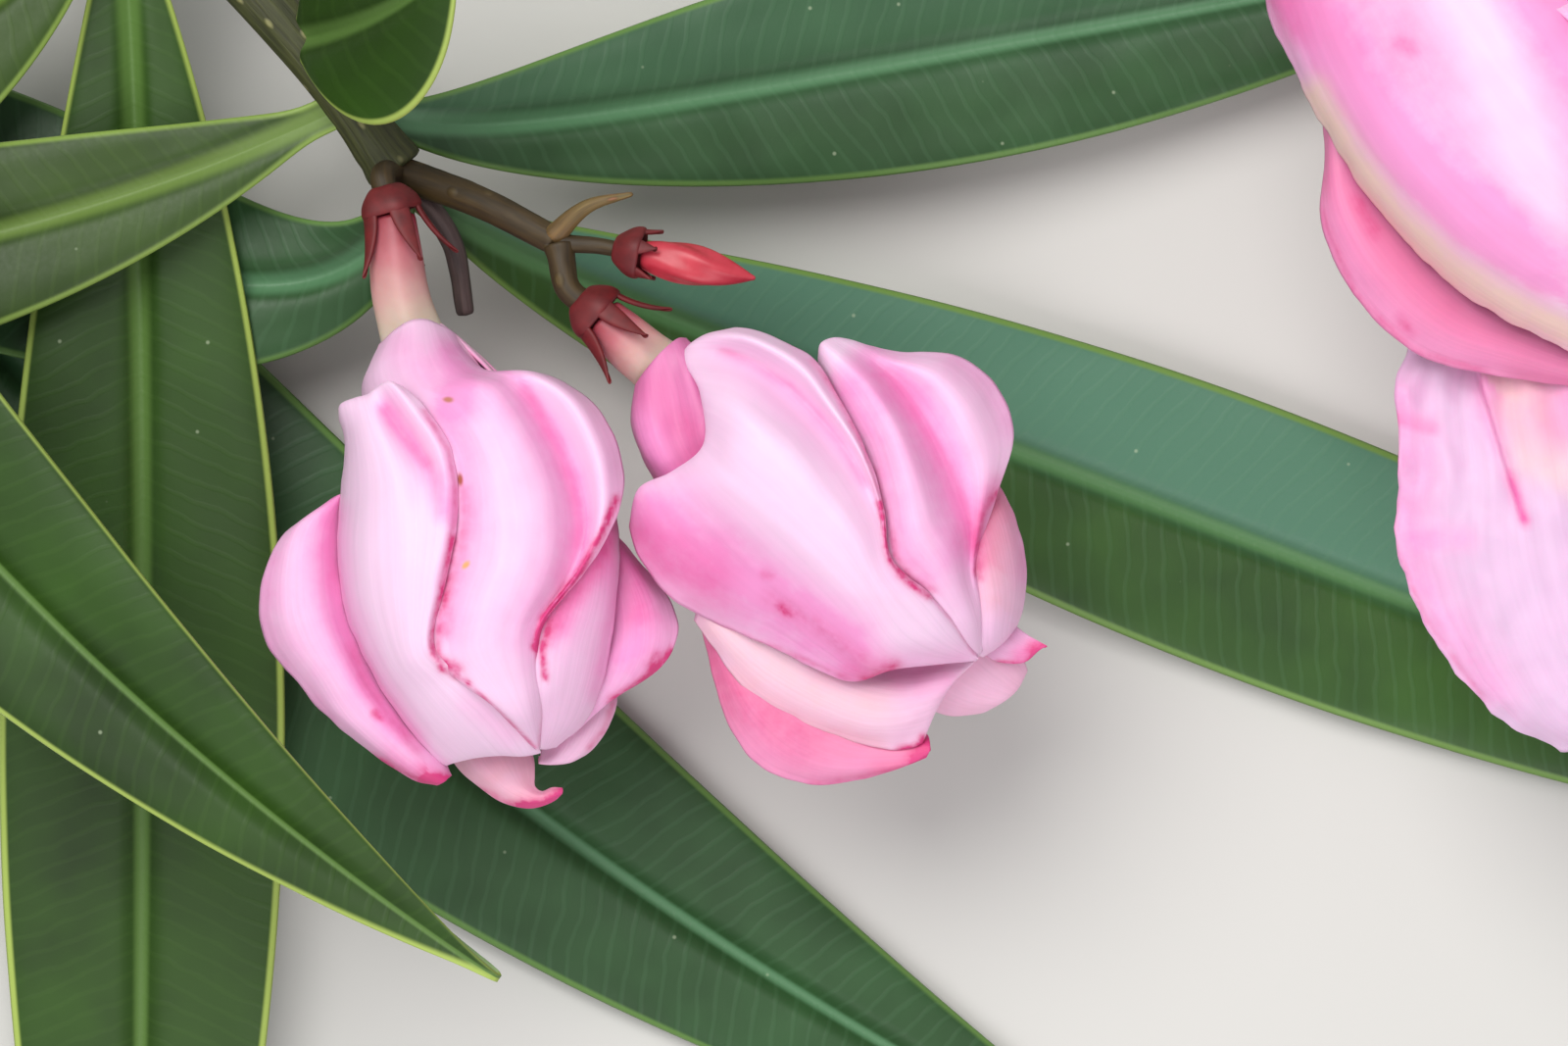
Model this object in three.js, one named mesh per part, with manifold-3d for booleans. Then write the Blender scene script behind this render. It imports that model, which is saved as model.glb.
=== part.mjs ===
// A cut flowering sprig of pink double oleander, lying on a level surface.
// Millimetres, +Z up. The origin is on the surface, under the middle of the sprig.
// The main stem runs from its flat cut, at the left, to the flower head; a side shoot carries the open bloom.

import * as THREE from "three";
import { LoftGeometry } from "three/addons/geometries/LoftGeometry.js";
import { mergeVertices } from "three/addons/utils/BufferGeometryUtils.js";
import Module from "manifold-3d";

const wasm = await Module();
wasm.setup();

// Driving dimensions, in millimetres and degrees

// Places are given from a point between the two half-open blooms, which lies here in the part's frame.
const HEART = new THREE.Vector2(16.3, -23);

const CUT_RADIUS = 3.3; // of the woody stem at its flat cut
const HEAD_RADIUS = 1.55; // of the stem where the flower head starts
const SHOOT_RADIUS = 1.9; // of the side shoot at its foot
const SHOOT_TIP_RADIUS = 1.15;
const STALK_RADIUS = 0.95; // of the stalks in the flower head
const NODE_SWELL = 0.45; // how far a leaf joint stands out from its stem
const NODE_REACH = 2.4; // how far along the stem it does

const SEAT_GAP = 0.3; // between pieces that meet, which are separate solids

const BLADE_RIB = 0.7; // half the thickness of a leaf along its midrib
const BLADE_RIM = 0.3; // and along its margin
const PETIOLE_HALF = 1.25; // half the width of a leaf's stalk
const BLADE_TIP_HALF = 0.25; // half the width of a leaf at its point
const BLADE_SKEW = 0.92; // under 1 moves a leaf's widest place toward its foot
const BLADE_FULLNESS = 0.95; // under 1 fills a leaf out toward both its ends
const BLADE_FOLD = 10; // by which either side of a leaf rises from its midrib, unless it says otherwise
const YOUNG_LENGTH = 90; // leaves shorter than this are young and paler

const TUBE_RADIUS = 1.55; // of a flower's tube where it leaves the calyx
const THROAT_RADIUS = 2.2; // and where the petals start
const POINT_RADIUS = 0.4; // of the furled petals at their point
const BLOOM_FULLNESS = 0.7; // under 1 fills the furled petals out toward both ends

const RIDGES = 5; // petals wound round a bloom
const RIDGE_HEIGHT = 0.07; // how far a petal's edge stands out, as a share of the body
const RIDGE_TURN = 0.22; // turns the edges wind through from throat to point
const LOBE_ANGLE = 26; // how far round a turned-out margin reaches
const LOBE_LENGTH = 0.17; // and how far along, as a share
const LOBE_END = 10; // how late the margins die away toward the point

const PETAL_HALF = 0.45; // half the thickness of an opened petal
const PETAL_CUP = 18; // radius of its cupped section
const PETAL_FOOT = 1.3; // how far from the flower's axis an opened petal starts
const PETAL_LEAN = 1.2; // over 1 makes it go out before it goes along the axis
const PETAL_SPREAD = 0.85; // under 1 makes it go out early
const PETAL_SPAN = [0.04, 0.93]; // part of the width curve from its foot to its end
const PETAL_SKEW = 1.3; // over 1 moves its widest place toward its end
const PETAL_FULLNESS = 0.7; // under 1 fills it out toward both ends
const PETAL_STATIONS = [-1, -0.4, 0.4, 1]; // places across it, as shares of its half width
const PETAL_ROLL_PLACE = 0.5; // share of its length where it is rolled all the way

const BUD_STATIONS = [0, 0.15, 0.35, 0.55, 0.78, 1]; // places along a bud, as shares of its length
const BUD_SPAN = [0.2, 1]; // part of the width curve from its foot to its point
const BUD_FULLNESS = 0.8; // under 1 fills it out toward both ends
const BUD_POINT = 0.2; // radius of its point

const SEPALS = 5;
const CUP_FOOT = 1.5; // from the calyx's foot to the foot of the tube
const CUP_FOOT_RADIUS = 1;
const CUP_WAIST_RADIUS = 2.1; // half way between them
const CUP_WALL = 0.5;
const CUP_EASE = 0.15; // by which the cup stands clear of the tube, which widens
const CUP_RIM = 0.2; // from the foot of the tube to where the sepals part
const CUP_FLOOR_RISE = 0.05; // of the low point in the middle of the cup's floor
const SEPAL_EDGE = 0.3; // how far the outside of a sepal's tip stands off the hollow
const SEPAL_EASE = 0.1; // and the inside

const STALK_INSET = 0.9; // how far a stalk's end stays behind the foot of the tube
const STALK_BEND = 0.35; // share of its way that a stalk goes along the flower's axis
const STALK_TAPER = 0.85;

const COLOUR = {
  bark: 0x5b4a2c,
  leaf: 0x2f5a2a,
  young: 0x6f8f2c,
  red: 0x8c1c22,
  spent: 0x4a3a40,
  bloom: 0xf3bfe0,
  bud: 0xb5303f,
};

const place = (x, y, z) => new THREE.Vector3(x + HEART.x, y + HEART.y, z);
const radians = THREE.MathUtils.degToRad;
const mix = THREE.MathUtils.lerp;
const turn = 2 * Math.PI;

// Leaf joints, where whorls of leaves and side shoots leave the stem
const JOINTS = {
  lower: place(-93, 67, 8),
  middle: place(-43, 42.8, 12.5),
  small: place(-31.4, 31.2, 13),
  upper: place(-28.2, 27, 12.8),
  head: place(-25, 22.7, 12.4),
  shoot: place(2, 55, 12.5),
  shootTip: place(20.5, 59.5, 17),
};

// Limbs, from foot to tip
const LIMBS = {
  main_stem: {
    points: [
      place(-124, 70.4, CUT_RADIUS),
      place(-108, 69.6, 5.2),
      JOINTS.lower,
      place(-67, 58.2, 10.6),
      JOINTS.middle,
      JOINTS.small,
      JOINTS.head,
    ],
    foot: CUT_RADIUS,
    tip: HEAD_RADIUS,
    joints: [JOINTS.lower, JOINTS.middle, JOINTS.head],
    sides: 12,
    steps: 18,
  },
  side_shoot: {
    points: [JOINTS.middle, place(-26, 50, 12), JOINTS.shoot, JOINTS.shootTip],
    foot: SHOOT_RADIUS,
    tip: SHOOT_TIP_RADIUS,
    joints: [JOINTS.shoot, JOINTS.shootTip],
    sides: 10,
    steps: 12,
  },
  head_stalk: {
    points: [JOINTS.head, place(-19.5, 20.6, 15.6), place(-14.4, 17.9, 18)],
    foot: 1.15,
    tip: STALK_RADIUS,
    sides: 8,
    steps: 6,
  },
  spent_stalk: {
    points: [JOINTS.head, place(-21.6, 18.4, 12), place(-20.6, 13.4, 11.4)],
    foot: 0.85,
    tip: 0.6,
    sides: 6,
    steps: 5,
  },
  bract: {
    points: [place(-14.9, 18.2, 18), place(-12.6, 20.2, 19), place(-9.6, 21, 19.6)],
    foot: 0.8,
    tip: 0.15,
    sides: 6,
    steps: 4,
  },
};

// Leaves: long blades on short stalks
// heading: compass direction at foot and tip, anticlockwise from +X; bend: how soon the one turns into the
// other; tip: height of the tip; settle: how soon the blade comes down to it; arch: lift at mid length;
// fold: by which both sides rise from the midrib; roll: turn about the midrib at foot and tip, left side up
const LEAVES = {
  leaf_front: {
    joint: "lower", heading: [-70.7, -33.3], length: 124, width: 18,
    tip: 23, settle: 3.2, roll: [14, 8],
  },
  leaf_floor: {
    joint: "lower", heading: [-60.5, -25.5], length: 168, width: 23,
    tip: 0.35, settle: 3, fold: 5,
  },
  leaf_back: {
    joint: "lower", heading: [38, 18], length: 118, width: 19,
    tip: 0.35, settle: 1.6, arch: 5,
  },
  leaf_hanging: {
    joint: "middle", heading: [-86, -91], bend: 4, length: 121, width: 19,
    tip: 0.33, settle: 2.2, arch: 2.5, fold: 6,
  },
  leaf_rising: {
    joint: "middle", heading: [66, 38], length: 104, width: 18,
    tip: 6, settle: 1.5, arch: 8,
  },
  leaf_turned: {
    joint: "middle", heading: [238, 178], bend: 3, length: 100, width: 22,
    tip: 8, settle: 1, arch: 4.5,
  },
  leaf_far: {
    joint: "upper", heading: [-24, 10.5], bend: 14, length: 86, width: 15,
    tip: 3.4, settle: 3, fold: 6,
  },
  leaf_left: {
    joint: "upper", heading: [206, 182], bend: 2, length: 84, width: 14,
    tip: 7, settle: 1, arch: 1.5, fold: 8,
  },
  leaf_small: {
    joint: "small", heading: [2, 38], length: 12, width: 14,
    tip: 31, settle: 1.2, fold: 12,
  },
  leaf_right: {
    joint: "head", heading: [-48, -21], bend: 25, length: 130, width: 18,
    tip: 0.42, settle: 6, fold: 5,
  },
  leaf_low: {
    joint: "head", heading: [285, 160], bend: 9, length: 72, width: 17,
    tip: 8.6, settle: 9, arch: -2.4, fold: 5,
  },
  leaf_shoot_left: {
    joint: "shoot", heading: [58, 30], length: 96, width: 17,
    tip: 2.5, settle: 1.8, arch: 6,
  },
  leaf_shoot_right: {
    joint: "shoot", heading: [-14, -24], length: 98, width: 16,
    tip: 0.35, settle: 2.5, fold: 5,
  },
  leaf_tip: {
    joint: "shootTip", heading: [34, -2], length: 88, width: 16,
    tip: 9, settle: 1.4, arch: 6,
  },
  leaf_tip_small: {
    joint: "shootTip", heading: [102, 122], length: 60, width: 12,
    tip: 12, settle: 1.3, arch: 1,
  },
};
const LEAF_STEPS = 11;

// Flowers
// foot and apex: where the tube leaves the stalk, and where the furled petals meet; body: radius of the
// furled petals; fullest: where they are widest, as a share; sepals and spread: length of the calyx lobes,
// and the angle that they stand off by, in radians; lobes: turned-out margins as [angle, share of length,
// how far out]; petals: opened petals as [angle, reach, share of length, half width, roll].
// An angle of 90 faces up, and 0 to the right.
const FLOWERS = {
  bloom_right: {
    foot: place(-12, 13.4, 18.6),
    apex: place(12.7, -8.3, 19.4),
    tube: 8,
    body: 9.8,
    fullest: 0.5,
    lobes: [
      [186, 0.2, 2.5],
      [196, 0.62, 4],
      [203, 0.88, 9],
      [10, 0.3, 2],
      [5, 0.52, 3.4],
      [0, 0.8, 3.5],
      [284, 0.5, 1.2],
    ],
    sepals: 4.6,
    spread: 0.6,
    stalk: STALK_RADIUS,
    from: LIMBS.head_stalk.points[2],
  },
  bloom_left: {
    foot: place(-25.3, 20.2, 15.4),
    apex: place(-15.6, -15.2, 17.2),
    tube: 8.2,
    body: 8.8,
    fullest: 0.55,
    lobes: [
      [185, 0.52, 5],
      [190, 0.8, 5.4],
      [15, 0.34, 3.6],
      [-8, 0.8, 4.8],
      [110, 0.3, 1],
      [262, 0.5, 1.6],
    ],
    sepals: 4.8,
    spread: 0.55,
    stalk: STALK_RADIUS,
    from: JOINTS.head,
  },
  bloom_open: {
    foot: place(30.3, 53.2, 20.4),
    apex: place(67.6, 8.8, 26),
    tube: 12,
    body: 15.5,
    fullest: 0.56,
    lobes: [
      [182, 0.46, 5],
      [186, 0.14, 6],
      [92, 0.5, 2],
      [282, 0.5, 1.5],
    ],
    petals: [
      [198, 25, 1.12, 12.5, 62],
      [58, 24, 0.8, 13, 0],
      [8, 27, 0.84, 14, -20],
      [332, 25, 0.9, 13, -62],
    ],
    sepals: 5.6,
    spread: 0.35,
    stalk: 1.1,
    from: JOINTS.shootTip,
  },
  bud_right: {
    foot: place(-9.4, 17.2, 19),
    apex: place(-1.8, 15.6, 20.2),
    radius: 1.3,
    sepals: 2.4,
    spread: 0.4,
    stalk: 0.6,
    from: LIMBS.head_stalk.points[2],
  },
  bud_shoot: {
    foot: place(27, 67.5, 20.6),
    apex: place(30.6, 75, 24),
    radius: 1.5,
    sepals: 2.6,
    spread: 0.4,
    stalk: 0.65,
    from: JOINTS.shootTip,
  },
  bud_shoot_low: {
    foot: place(18, 67.4, 20.4),
    apex: place(16, 74.8, 23.6),
    radius: 1.2,
    sepals: 2.2,
    spread: 0.4,
    stalk: 0.6,
    from: JOINTS.shootTip,
  },
};
const BLOOM_SIDES = 20;
const BLOOM_STEPS = 12;
const PETAL_STEPS = 5;
const BUD_SIDES = 8;
const STALK_SIDES = 8;
const STALK_STEPS = 5;

// Solids from lofts. Every maker takes extra, which makes its shape that much fatter all round.

const CAPPED = { capStart: true, capEnd: true };

function ring(centre, side, up, radiusAt, count) {
  return Array.from({ length: count }, (_, i) => {
    const angle = (i / count) * turn;
    return centre
      .clone()
      .addScaledVector(side, radiusAt(angle) * Math.cos(angle))
      .addScaledVector(up, radiusAt(angle) * Math.sin(angle));
  });
}

const disc = (radius) => () => radius;

// Which way an end section moves to make a shape longer: back at the first, ahead at the last
const endShare = (i, last) => Number(i === last) - Number(i === 0);

// A half wave over shares 0 to 1, widest where skew puts it, and filled out by a fullness under 1
const wave = (share, skew, fullness) => Math.sin(Math.PI * Math.min(1, share ** skew)) ** fullness;

function limb({ points, foot, tip, joints = [], sides, steps }, extra) {
  const curve = new THREE.CatmullRomCurve3(points, false, "centripetal");
  const frames = curve.computeFrenetFrames(steps, false);
  const sections = frames.tangents.map((_, i) => {
    const t = i / steps;
    const centre = curve.getPointAt(t);
    const swell = joints.reduce(
      (sum, joint) => sum + Math.exp(-((centre.distanceTo(joint) / NODE_REACH) ** 2)),
      0,
    );
    const radius = mix(foot, tip, t) + NODE_SWELL * swell + extra;
    centre.addScaledVector(frames.tangents[i], endShare(i, steps) * extra);
    return ring(centre, frames.normals[i], frames.binormals[i], disc(radius), sides);
  });
  return new LoftGeometry(sections, CAPPED);
}

// The midrib's point at a share of the leaf's length, found by walking from its foot
function leafPoint(leaf, s) {
  const strides = 40;
  const stride = (leaf.length * s) / strides;
  const foot = JOINTS[leaf.joint];
  const point = foot.clone();
  for (let i = 0; i < strides; i += 1) {
    const bent = 1 - (1 - (s * (i + 0.5)) / strides) ** (leaf.bend ?? 1);
    const heading = radians(mix(...leaf.heading, bent));
    point.x += stride * Math.cos(heading);
    point.y += stride * Math.sin(heading);
  }
  const drop = (foot.z - leaf.tip) * Math.max(0, 1 - s) ** leaf.settle;
  point.z = leaf.tip + drop + (leaf.arch ?? 0) * Math.sin(Math.PI * s);
  return point;
}

function leafSection(leaf, i, extra) {
  const s = i / LEAF_STEPS;
  const nudge = 1e-3;
  const ahead = leafPoint(leaf, s + nudge)
    .sub(leafPoint(leaf, s - nudge))
    .normalize();
  const roll = radians(mix(...(leaf.roll ?? [0, 0]), s));
  const side = new THREE.Vector3(-ahead.y, ahead.x, 0).normalize().applyAxisAngle(ahead, roll);
  const up = new THREE.Vector3().crossVectors(ahead, side);
  const blade = (leaf.width / 2) * wave(s, BLADE_SKEW, BLADE_FULLNESS);
  const half = Math.max(mix(PETIOLE_HALF, BLADE_TIP_HALF, s), blade) + extra;
  const fold = radians(leaf.fold ?? BLADE_FOLD);
  const midrib = leafPoint(leaf, s).addScaledVector(ahead, endShare(i, LEAF_STEPS) * extra);
  const at = (across, above) =>
    midrib
      .clone()
      .addScaledVector(side, across * Math.cos(fold))
      .addScaledVector(up, Math.abs(across) * Math.sin(fold) + above);
  const rib = mix(BLADE_RIB, BLADE_RIM, s) + extra;
  const rim = BLADE_RIM + extra;
  return [at(-half, -rim), at(0, -rib), at(half, -rim), at(half, rim), at(0, rib), at(-half, rim)];
}

function leafBlade(leaf, extra) {
  const sections = [];
  for (let i = 0; i <= LEAF_STEPS; i += 1) sections.push(leafSection(leaf, i, extra));
  return new LoftGeometry(sections, CAPPED);
}

// Directions of a flower: along its axis, to the right as seen from above, and up
function flowerFrame({ foot, apex }) {
  const along = apex.clone().sub(foot).normalize();
  const up = new THREE.Vector3(0, 0, 1).addScaledVector(along, -along.z).normalize();
  const right = new THREE.Vector3().crossVectors(up, along);
  return { along, up, right, at: (distance) => foot.clone().addScaledVector(along, distance) };
}

function bloomRadius(bloom, angle, t) {
  const skew = Math.log(0.5) / Math.log(bloom.fullest);
  const lobes = bloom.lobes.reduce((sum, [at, share, out]) => {
    const off = THREE.MathUtils.euclideanModulo(THREE.MathUtils.radToDeg(angle) - at + 180, 360) - 180;
    return sum + out * Math.exp(-((off / LOBE_ANGLE) ** 2) - ((t - share) / LOBE_LENGTH) ** 2);
  }, 0);
  const ridge = 1 + RIDGE_HEIGHT * Math.sin(RIDGES * (angle - turn * RIDGE_TURN * t));
  const throat = THROAT_RADIUS * (1 - t);
  const body = (bloom.body - throat) * ridge * wave(t, skew, BLOOM_FULLNESS);
  return Math.max(POINT_RADIUS, throat + body + lobes * (1 - t ** LOBE_END));
}

// The furled petals, with their turned-out margins, and the tube they stand on
function furled(bloom, extra) {
  const { right, up, at } = flowerFrame(bloom);
  const length = bloom.foot.distanceTo(bloom.apex);
  const sections = [SEAT_GAP - extra, bloom.tube / 2].map((distance) => {
    const radius = mix(TUBE_RADIUS, THROAT_RADIUS, distance / bloom.tube) + extra;
    return ring(at(distance), right, up, disc(radius), BLOOM_SIDES);
  });
  for (let i = 0; i <= BLOOM_STEPS; i += 1) {
    const t = i / BLOOM_STEPS;
    const radiusAt = (angle) => (i < BLOOM_STEPS ? bloomRadius(bloom, angle, t) : POINT_RADIUS) + extra;
    const centre = at(mix(bloom.tube, length, t) + extra * t);
    sections.push(ring(centre, right, up, radiusAt, BLOOM_SIDES));
  }
  return new LoftGeometry(sections, CAPPED);
}

// An opened petal is a sheet, cupped toward the flower's axis, and rolled about its own midrib.
function openPetal(bloom, [angle, reach, share, halfWidth, roll], extra) {
  const { along, right, up, at } = flowerFrame(bloom);
  const nudge = 0.01;
  const span = bloom.foot.distanceTo(bloom.apex) - bloom.tube;
  const out = right.clone().applyAxisAngle(along, radians(angle));
  const midrib = (s) =>
    at(bloom.tube + span * share * s ** PETAL_LEAN)
      .addScaledVector(out, mix(PETAL_FOOT, reach, s ** PETAL_SPREAD));
  const sections = [];
  for (let i = 0; i <= PETAL_STEPS; i += 1) {
    const s = i / PETAL_STEPS;
    const ahead = midrib(s + nudge).sub(midrib(Math.max(0, s - nudge))).normalize();
    const rolled = radians(roll * Math.min(1, s / PETAL_ROLL_PLACE));
    const side = new THREE.Vector3().crossVectors(along, out).applyAxisAngle(ahead, rolled);
    const inward = new THREE.Vector3().crossVectors(ahead, side);
    const half = halfWidth * wave(mix(...PETAL_SPAN, s), PETAL_SKEW, PETAL_FULLNESS) + extra;
    const point = (across, offset) =>
      midrib(s)
        .addScaledVector(side, half * across)
        .addScaledVector(inward, (half * across) ** 2 / (2 * PETAL_CUP) + offset);
    const outer = PETAL_STATIONS.map((across) => point(across, -PETAL_HALF - extra));
    const inner = PETAL_STATIONS.map((across) => point(across, PETAL_HALF + extra));
    sections.push([...outer, ...inner.reverse()]);
  }
  return new LoftGeometry(sections, CAPPED);
}

function corolla(bloom, extra) {
  const petals = (bloom.petals ?? []).map((petal) => openPetal(bloom, petal, extra));
  const solids = [furled(bloom, extra), ...petals].map(solidOf);
  return geometryOf(solids.reduce((sum, solid) => sum.add(solid)));
}

// Unopened buds: slender spindles
function spindle(bud, extra) {
  const { right, up, at } = flowerFrame(bud);
  const length = bud.foot.distanceTo(bud.apex);
  const sections = BUD_STATIONS.map((t) => {
    const radius = Math.max(BUD_POINT, bud.radius * wave(mix(...BUD_SPAN, t), 1, BUD_FULLNESS)) + extra;
    return ring(at(mix(SEAT_GAP - extra, length + extra, t)), right, up, disc(radius), BUD_SIDES);
  });
  return new LoftGeometry(sections, CAPPED);
}

// A calyx is a cup round the foot of the tube, and parts into pointed sepals that stand off it.
function calyx(flower, extra) {
  const { right, up, at } = flowerFrame(flower);
  const filling = flower.radius ?? TUBE_RADIUS;
  const size = filling / TUBE_RADIUS;
  const hollow = filling + SEAT_GAP + CUP_EASE;
  const out = flower.sepals * Math.sin(flower.spread);
  // Profile, up the outside and down the inside: place along, share of the sepals' length, radius, way out
  const outside = [
    [-CUP_FOOT, 0, CUP_FOOT_RADIUS * size, 0],
    [-CUP_FOOT / 2, 0, CUP_WAIST_RADIUS * size, 0],
    [CUP_RIM, 0, hollow + CUP_WALL, 0],
    [0.5, 0.55, hollow + CUP_WALL, 0.35 * out],
    [0.6, 1, hollow + SEPAL_EDGE, out],
  ];
  const inside = [
    [0.6, 0.96, hollow + SEPAL_EASE, 0.92 * out],
    [0.5, 0.5, hollow, 0.3 * out],
    [0, 0, hollow, 0],
    [CUP_FLOOR_RISE, 0, SEPAL_EDGE, 0],
  ];
  const sections = [...outside, ...inside].map(([distance, share, radius, way], level) => {
    const fat = level < outside.length ? extra : -extra * Math.min(1, radius);
    const foot = level === 0 ? -extra : 0;
    return Array.from({ length: SEPALS * 2 }, (_, i) => {
      const angle = (i / (SEPALS * 2)) * turn;
      const peak = ((1 + Math.cos(SEPALS * angle)) / 2) ** 2;
      const spoke = radius + way * peak + fat;
      return at(distance + flower.sepals * share * peak + extra * share + foot)
        .addScaledVector(right, spoke * Math.cos(angle))
        .addScaledVector(up, spoke * Math.sin(angle));
    });
  });
  return new LoftGeometry(sections, CAPPED);
}

// A flower's stalk runs from the middle of its carrier and comes in along the flower's axis.
function stalk(flower, extra) {
  const { along, at } = flowerFrame(flower);
  const end = at(-STALK_INSET);
  const bend = end.clone().addScaledVector(along, -STALK_BEND * flower.from.distanceTo(end));
  const spec = {
    points: [flower.from, bend, end],
    foot: flower.stalk,
    tip: flower.stalk * STALK_TAPER,
    sides: STALK_SIDES,
    steps: STALK_STEPS,
  };
  return limb(spec, extra);
}

// Solids: each is cut back from a fatter copy of every one before it, which leaves the gap

function solidOf(geometry) {
  const weld = 1e-4;
  const bare = new THREE.BufferGeometry().copy(geometry);
  bare.deleteAttribute("normal");
  bare.deleteAttribute("uv");
  const merged = mergeVertices(bare, weld);
  return new wasm.Manifold(
    new wasm.Mesh({
      numProp: 3,
      vertProperties: merged.attributes.position.array,
      triVerts: new Uint32Array(merged.index.array),
    }),
  );
}

function geometryOf(solid) {
  const mesh = solid.getMesh();
  const geometry = new THREE.BufferGeometry();
  geometry.setAttribute("position", new THREE.BufferAttribute(mesh.vertProperties, 3));
  geometry.setIndex(new THREE.BufferAttribute(mesh.triVerts, 1));
  geometry.computeVertexNormals();
  return geometry;
}

const sprig = new THREE.Group();
const settled = [];

function add(name, make, color, roughness) {
  let solid = solidOf(make(0));
  for (const fatter of settled) solid = solid.subtract(fatter);
  const body = solid.decompose().sort((a, b) => b.volume() - a.volume())[0];
  settled.push(solidOf(make(SEAT_GAP)));
  const material = new THREE.MeshStandardMaterial({ color, roughness, metalness: 0 });
  const mesh = new THREE.Mesh(geometryOf(body), material);
  mesh.name = name;
  sprig.add(mesh);
}

// The sprig

const limbColours = {
  main_stem: COLOUR.bark,
  side_shoot: COLOUR.bark,
  head_stalk: COLOUR.red,
  spent_stalk: COLOUR.spent,
  bract: COLOUR.red,
};
for (const [name, spec] of Object.entries(LIMBS)) {
  add(name, (extra) => limb(spec, extra), limbColours[name], 0.75);
}
for (const [name, flower] of Object.entries(FLOWERS)) {
  if (flower.body) add(name, (extra) => corolla(flower, extra), COLOUR.bloom, 0.45);
  else add(name, (extra) => spindle(flower, extra), COLOUR.bud, 0.4);
}
for (const [name, flower] of Object.entries(FLOWERS)) {
  add(`${name}_calyx`, (extra) => calyx(flower, extra), COLOUR.red, 0.6);
  add(`${name}_stalk`, (extra) => stalk(flower, extra), COLOUR.red, 0.6);
}
for (const [name, leaf] of Object.entries(LEAVES)) {
  const colour = leaf.length < YOUNG_LENGTH ? COLOUR.young : COLOUR.leaf;
  add(name, (extra) => leafBlade(leaf, extra), colour, 0.42);
}

export default sprig;
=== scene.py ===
# %% [markdown]
# # A cut sprig of double pink oleander
# This file is a lesson in modelling a flowering sprig with Blender's Python. The sprig lies on a pale
# surface and is seen from straight above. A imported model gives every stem, leaf and bloom its place and
# size; here each one is made again with the shape and finish that a living plant has.
# Everything is worked out in millimetres and turned into metres when a piece is finished.

import math

import bmesh
import bpy
from mathutils import Matrix, Vector, noise


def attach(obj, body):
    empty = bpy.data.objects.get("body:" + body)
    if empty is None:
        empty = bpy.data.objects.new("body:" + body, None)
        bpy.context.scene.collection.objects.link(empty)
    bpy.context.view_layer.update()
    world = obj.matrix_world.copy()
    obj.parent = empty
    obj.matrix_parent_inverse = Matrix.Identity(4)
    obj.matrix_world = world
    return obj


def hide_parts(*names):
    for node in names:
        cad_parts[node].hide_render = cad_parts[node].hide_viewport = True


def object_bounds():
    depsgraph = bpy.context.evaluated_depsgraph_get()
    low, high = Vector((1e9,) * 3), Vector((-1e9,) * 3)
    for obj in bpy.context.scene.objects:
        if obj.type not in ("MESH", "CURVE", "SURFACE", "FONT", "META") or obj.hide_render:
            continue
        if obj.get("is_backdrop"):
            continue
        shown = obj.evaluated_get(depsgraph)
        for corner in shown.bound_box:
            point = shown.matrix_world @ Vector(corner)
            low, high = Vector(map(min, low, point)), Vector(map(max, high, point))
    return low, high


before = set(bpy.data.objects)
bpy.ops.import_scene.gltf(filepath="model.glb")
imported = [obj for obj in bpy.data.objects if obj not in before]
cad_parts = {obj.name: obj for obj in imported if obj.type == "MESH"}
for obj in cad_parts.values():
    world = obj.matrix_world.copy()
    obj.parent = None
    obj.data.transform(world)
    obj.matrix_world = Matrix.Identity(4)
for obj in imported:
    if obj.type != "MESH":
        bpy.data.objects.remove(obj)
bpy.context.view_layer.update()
print("nodes to dress:", len(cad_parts))

# %% [markdown]
# ## Camera
# The photograph is a close view of the flower head. The camera looks straight down on a point between the
# two half-open blooms, which is called the heart here. It is a long lens at half a metre: the frame is
# 100 mm wide at the height of the blooms.

# %% Set up the camera
MM = 0.001
HEART = Vector((16.3, -23.0, 0.0))
EYE_HEIGHT = 550.0
BLOOM_HEIGHT = 20.0
FRAME_WIDTH = 100.0
SENSOR_WIDTH = 36.0
NEAREST_SEEN = 10.0

lens = SENSOR_WIDTH * (EYE_HEIGHT - BLOOM_HEIGHT) / FRAME_WIDTH
camera_data = bpy.data.cameras.new("camera")
camera_data.sensor_width = SENSOR_WIDTH
camera_data.lens = lens
camera_data.clip_start = NEAREST_SEEN * MM
camera = bpy.data.objects.new("camera", camera_data)
camera.location = (HEART + Vector((0, 0, EYE_HEIGHT))) * MM
bpy.context.scene.collection.objects.link(camera)
bpy.context.scene.camera = camera
print("lens in mm:", round(lens, 1))

# %% [markdown]
# ## Light
# This is the light of open shade: soft from the whole sky, and a little stronger from the upper left. A
# pale world gives the sky, and one wide lamp gives the direction. A second, weaker lamp on the lower side
# keeps the far side of each petal from going grey.

# %% Set up the light
WORLD_STRENGTH = 0.57
WORLD_TINT = (0.97, 0.97, 1.0, 1.0)
LAMPS = {
    "sky_lamp": {"place": (-180, 280, 560), "size": 460, "power": 3.5, "tint": (1.0, 0.99, 0.97)},
    "fill_lamp": {"place": (60, -440, 440), "size": 420, "power": 1.45, "tint": (1.0, 0.98, 0.99)},
}

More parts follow.
